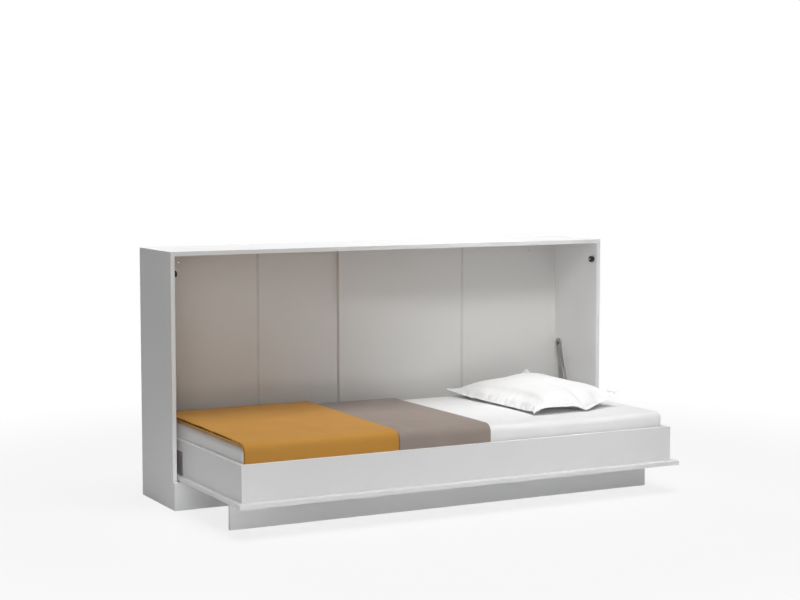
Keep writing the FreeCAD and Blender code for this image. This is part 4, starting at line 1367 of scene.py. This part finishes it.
@dataclass
class SoftBox:
    """One soft studio lamp aimed at a point, with its spread in degrees."""

    name: str
    place: Vector
    aim: Vector
    width: float
    height: float
    power: float
    spread: float = 180.0

    @classmethod
    def afar(cls, name: str, azimuth: float, elevation: float, power: float) -> "SoftBox":
        """Large, far lamp that lights the whole bed evenly.

        Args:
            name: the lamp's name.
            azimuth: degrees from straight in front, to the right.
            elevation: degrees above the floor.
            power: watts.

        Returns:
            The lamp, not yet made.
        """
        turn, rise = math.radians(azimuth), math.radians(elevation)
        aim, distance, size = Vector((0.0, 0.0, 0.4)), 10.0, 6.0
        away = Vector((math.sin(turn) * math.cos(rise), -math.cos(turn) * math.cos(rise),
                       math.sin(rise)))
        return cls(name, aim + distance * away, aim, size, size, power)

    def build(self) -> None:
        """Makes the lamp."""
        data = bpy.data.lights.new(self.name, "AREA")
        data.shape = "RECTANGLE"
        data.size, data.size_y = self.width, self.height
        data.energy = self.power
        data.spread = math.radians(self.spread)
        lamp = put(self.name, data)
        lamp.location = self.place
        lamp.rotation_euler = (self.aim - self.place).to_track_quat("-Z", "Y").to_euler()
        lamp.visible_camera = False


LAMPS = (SoftBox.afar("overhead_softbox", azimuth=0.0, elevation=85.0, power=690.0),
         SoftBox.afar("high_right_softbox", azimuth=50.0, elevation=60.0, power=92.0),
         SoftBox.afar("front_softbox", azimuth=-28.0, elevation=22.0, power=145.0),
         SoftBox.afar("camera_side_softbox", azimuth=-28.0, elevation=12.0, power=80.0),
         SoftBox("pillow_end_softbox", place=Vector((-0.35, -3.0, 3.4)),
                 aim=Vector((0.74, 0.46, 0.50)), width=1.0, height=1.0, power=1.9, spread=26.0),
         SoftBox("leg_softbox", place=Vector((0.1, -3.6, 0.10)),
                 aim=Vector((0.2, -0.15, 0.06)), width=2.2, height=0.1, power=0.70, spread=30.0),
         SoftBox("top_softbox", place=Vector((0.0, 5.0, 2.3)),
                 aim=Vector((0.0, 0.33, 1.09)), width=2.4, height=0.4, power=6.0, spread=30.0),
         SoftBox("plinth_softbox", place=Vector((-2.2, -2.6, 0.10)),
                 aim=Vector((-0.95, 0.14, 0.06)), width=0.5, height=0.1, power=0.12, spread=14.0))


@dataclass
class Studio:
    """Pale floor, white surroundings and soft lamps."""

    sky: float = 0.02
    floor_size: float = 60.0
    floor_colour: Colour = (0.93, 0.93, 0.93)
    floor_whiteness: float = 0.8
    shadow_end: Pair = (1.6, 3.4)

    def surroundings(self) -> None:
        """Makes the world: plain light, and white where it is seen."""
        world = bpy.data.worlds.new("white_room")
        bpy.context.scene.world = world
        graph = Graph(world, "ShaderNodeOutputWorld")
        seen = graph.node("Background", None, {"Color": WHITE})
        light = graph.node("Background", None, {"Color": WHITE, "Strength": self.sky})
        share = graph.ray("Camera").most(graph.ray("Glossy")).most(graph.ray("Transmission"))
        graph.mix(share, light, seen)

    def floor(self) -> None:
        """Makes the floor, white to the camera but for a light shadow."""
        skin = Skin("studio_floor")
        skin.dress(Base_Color=rgba(self.floor_colour), Roughness=0.9, Specular_IOR_Level=0.0)
        glow = skin.node("Emission", None, {"Color": WHITE, "Strength": 1.0})
        away = skin.node("VectorMath", {"operation": "LENGTH"},
                         {0: skin.place((1.0, 1.0, 0.0))}, "Value")
        whiteness = (self.floor_whiteness
                     + (1.0 - self.floor_whiteness) * skin.step(away, *self.shadow_end))
        skin.mix(skin.ray("Camera") * whiteness, Shade(skin, skin.surface.outputs[0]), glow)
        bm = bmesh.new()
        bmesh.ops.create_grid(bm, x_segments=1, y_segments=1, size=self.floor_size / 2)
        mesh = mesh_of(bm, "studio_floor")
        mesh.materials.append(skin.material)
        put("studio_floor", mesh)

    def build(self) -> None:
        """Makes the surroundings, the floor and the lamps."""
        self.surroundings()
        self.floor()
        for lamp in LAMPS:
            lamp.build()
        bpy.context.scene.view_settings.view_transform = "Standard"


# --- soft pieces as they lie
def knots(*rows: tuple[float, float, float, float]) -> Knots:
    """Knots of an edge from share, X, Y and height over the mattress, in millimetres."""
    return tuple((share, Vector((x, y, z)) / 1000) for share, x, y, z in rows)


def dents(*rows: tuple[float, float, float, float, float, float]) -> tuple[Dent, ...]:
    """Dents from shares across and along, the push on X, Y and Z and the reach, in millimetres."""
    return tuple(Dent(across, along, Vector((x, y, z)) / 1000, reach / 1000)
                 for across, along, x, y, z, reach in rows)


def pillow_as_it_lies() -> Pillow:
    """The pillow at the bed's right, its near edge sagging and its far right corner standing up.

    Returns:
        The pillow, not yet made.
    """
    outline = PillowOutline(
        left=knots((0.0, 438, -297, 19), (0.08, 444, -245, 12), (0.3, 448, -95, 9),
                   (0.6, 436, 90, 11), (0.85, 412, 300, 18), (1.0, 401, 417, 28)),
        near=knots((0.0, 438, -297, 19), (0.05, 456, -302, 26), (0.12, 493, -303, 31),
                   (0.27, 562, -303, 32), (0.43, 640, -301, 28), (0.50, 671, -299, 20),
                   (0.57, 705, -299, 8), (0.70, 765, -277, 21), (0.84, 843, -248, 35),
                   (0.92, 886, -241, 40), (1.0, 925, -240, 42)),
        right=knots((0.0, 925, -240, 42), (0.09, 905, -165, 54), (0.35, 868, 0, 62),
                    (0.7, 838, 230, 72), (1.0, 822, 399, 82)),
        back=knots((0.0, 401, 417, 28), (0.18, 470, 400, 36), (0.45, 590, 388, 50),
                   (0.75, 720, 390, 66), (0.93, 795, 394, 78), (1.0, 822, 399, 82)))
    return Pillow(
        outline,
        folds=(CornerFold(1.0, 0.0, depth=0.026, angle=math.radians(60)),
               CornerFold(0.0, 0.0, depth=0.014, angle=math.radians(-50))),
        dents=dents((0.945, 0.065, 0, 0, -17, 14), (0.86, 0.07, 0, 0, -6, 20),
                    (0.78, 0.035, 0, 4, -6, 20), (0.94, 0.965, 0, 0, -12, 14),
                    (1.0, 0.07, -16, -6, 20, 36), (0.99, 0.13, 0, 0, -8, 20),
                    (0.985, 0.985, 0, 0, 21, 34), (0.975, 0.90, 0, 0, 8, 18)),
        upper=Swell(0.064, ((0.26, 1.0), (0.19, 0.75), (0.15, 0.6), (0.27, 1.1))),
        lower=Swell(0.11, ((0.22, 2.4), (0.2, 1.5), (0.34, 3.0), (0.2, 1.2))))


def covers() -> tuple[FoldedCover, FoldedCover]:
    """The two covers as they lie.

    Returns:
        The ochre cover on the left and the taupe one beside it.
    """
    crease = Crease(Vector((-0.125, -0.19)), Vector((-0.095, -0.36)))
    return (FoldedCover("ochre_cover", "ochre_cover_folded", OCHRE_SATEEN, Slot.OCHRE,
                        left=-1.0045, right=-0.3205, front_rise=0.019, back_rise=0.025,
                        hem_rise=0.0205, hem_gap=0.0045, tuck=0.0045),
            FoldedCover("taupe_cover", "taupe_cover_folded", TAUPE_COTTON, Slot.TAUPE,
                        left=-0.3185, right=0.1135, front_rise=0.014, back_rise=0.010,
                        hem_rise=0.0125, creases=(crease,), roll=0.0016))


def main() -> None:
    """Builds every sub-assembly in order."""
    logging.basicConfig(level=logging.INFO, format="%(name)s: %(message)s")
    PhotoCamera().build()
    Studio().build()
    soft = (Mattress(), *covers(), pillow_as_it_lies())
    for assembly in (Cupboard(), FoldFittings(), BedBox(), *soft):
        assembly.build()


if __name__ == "__main__":
    main()
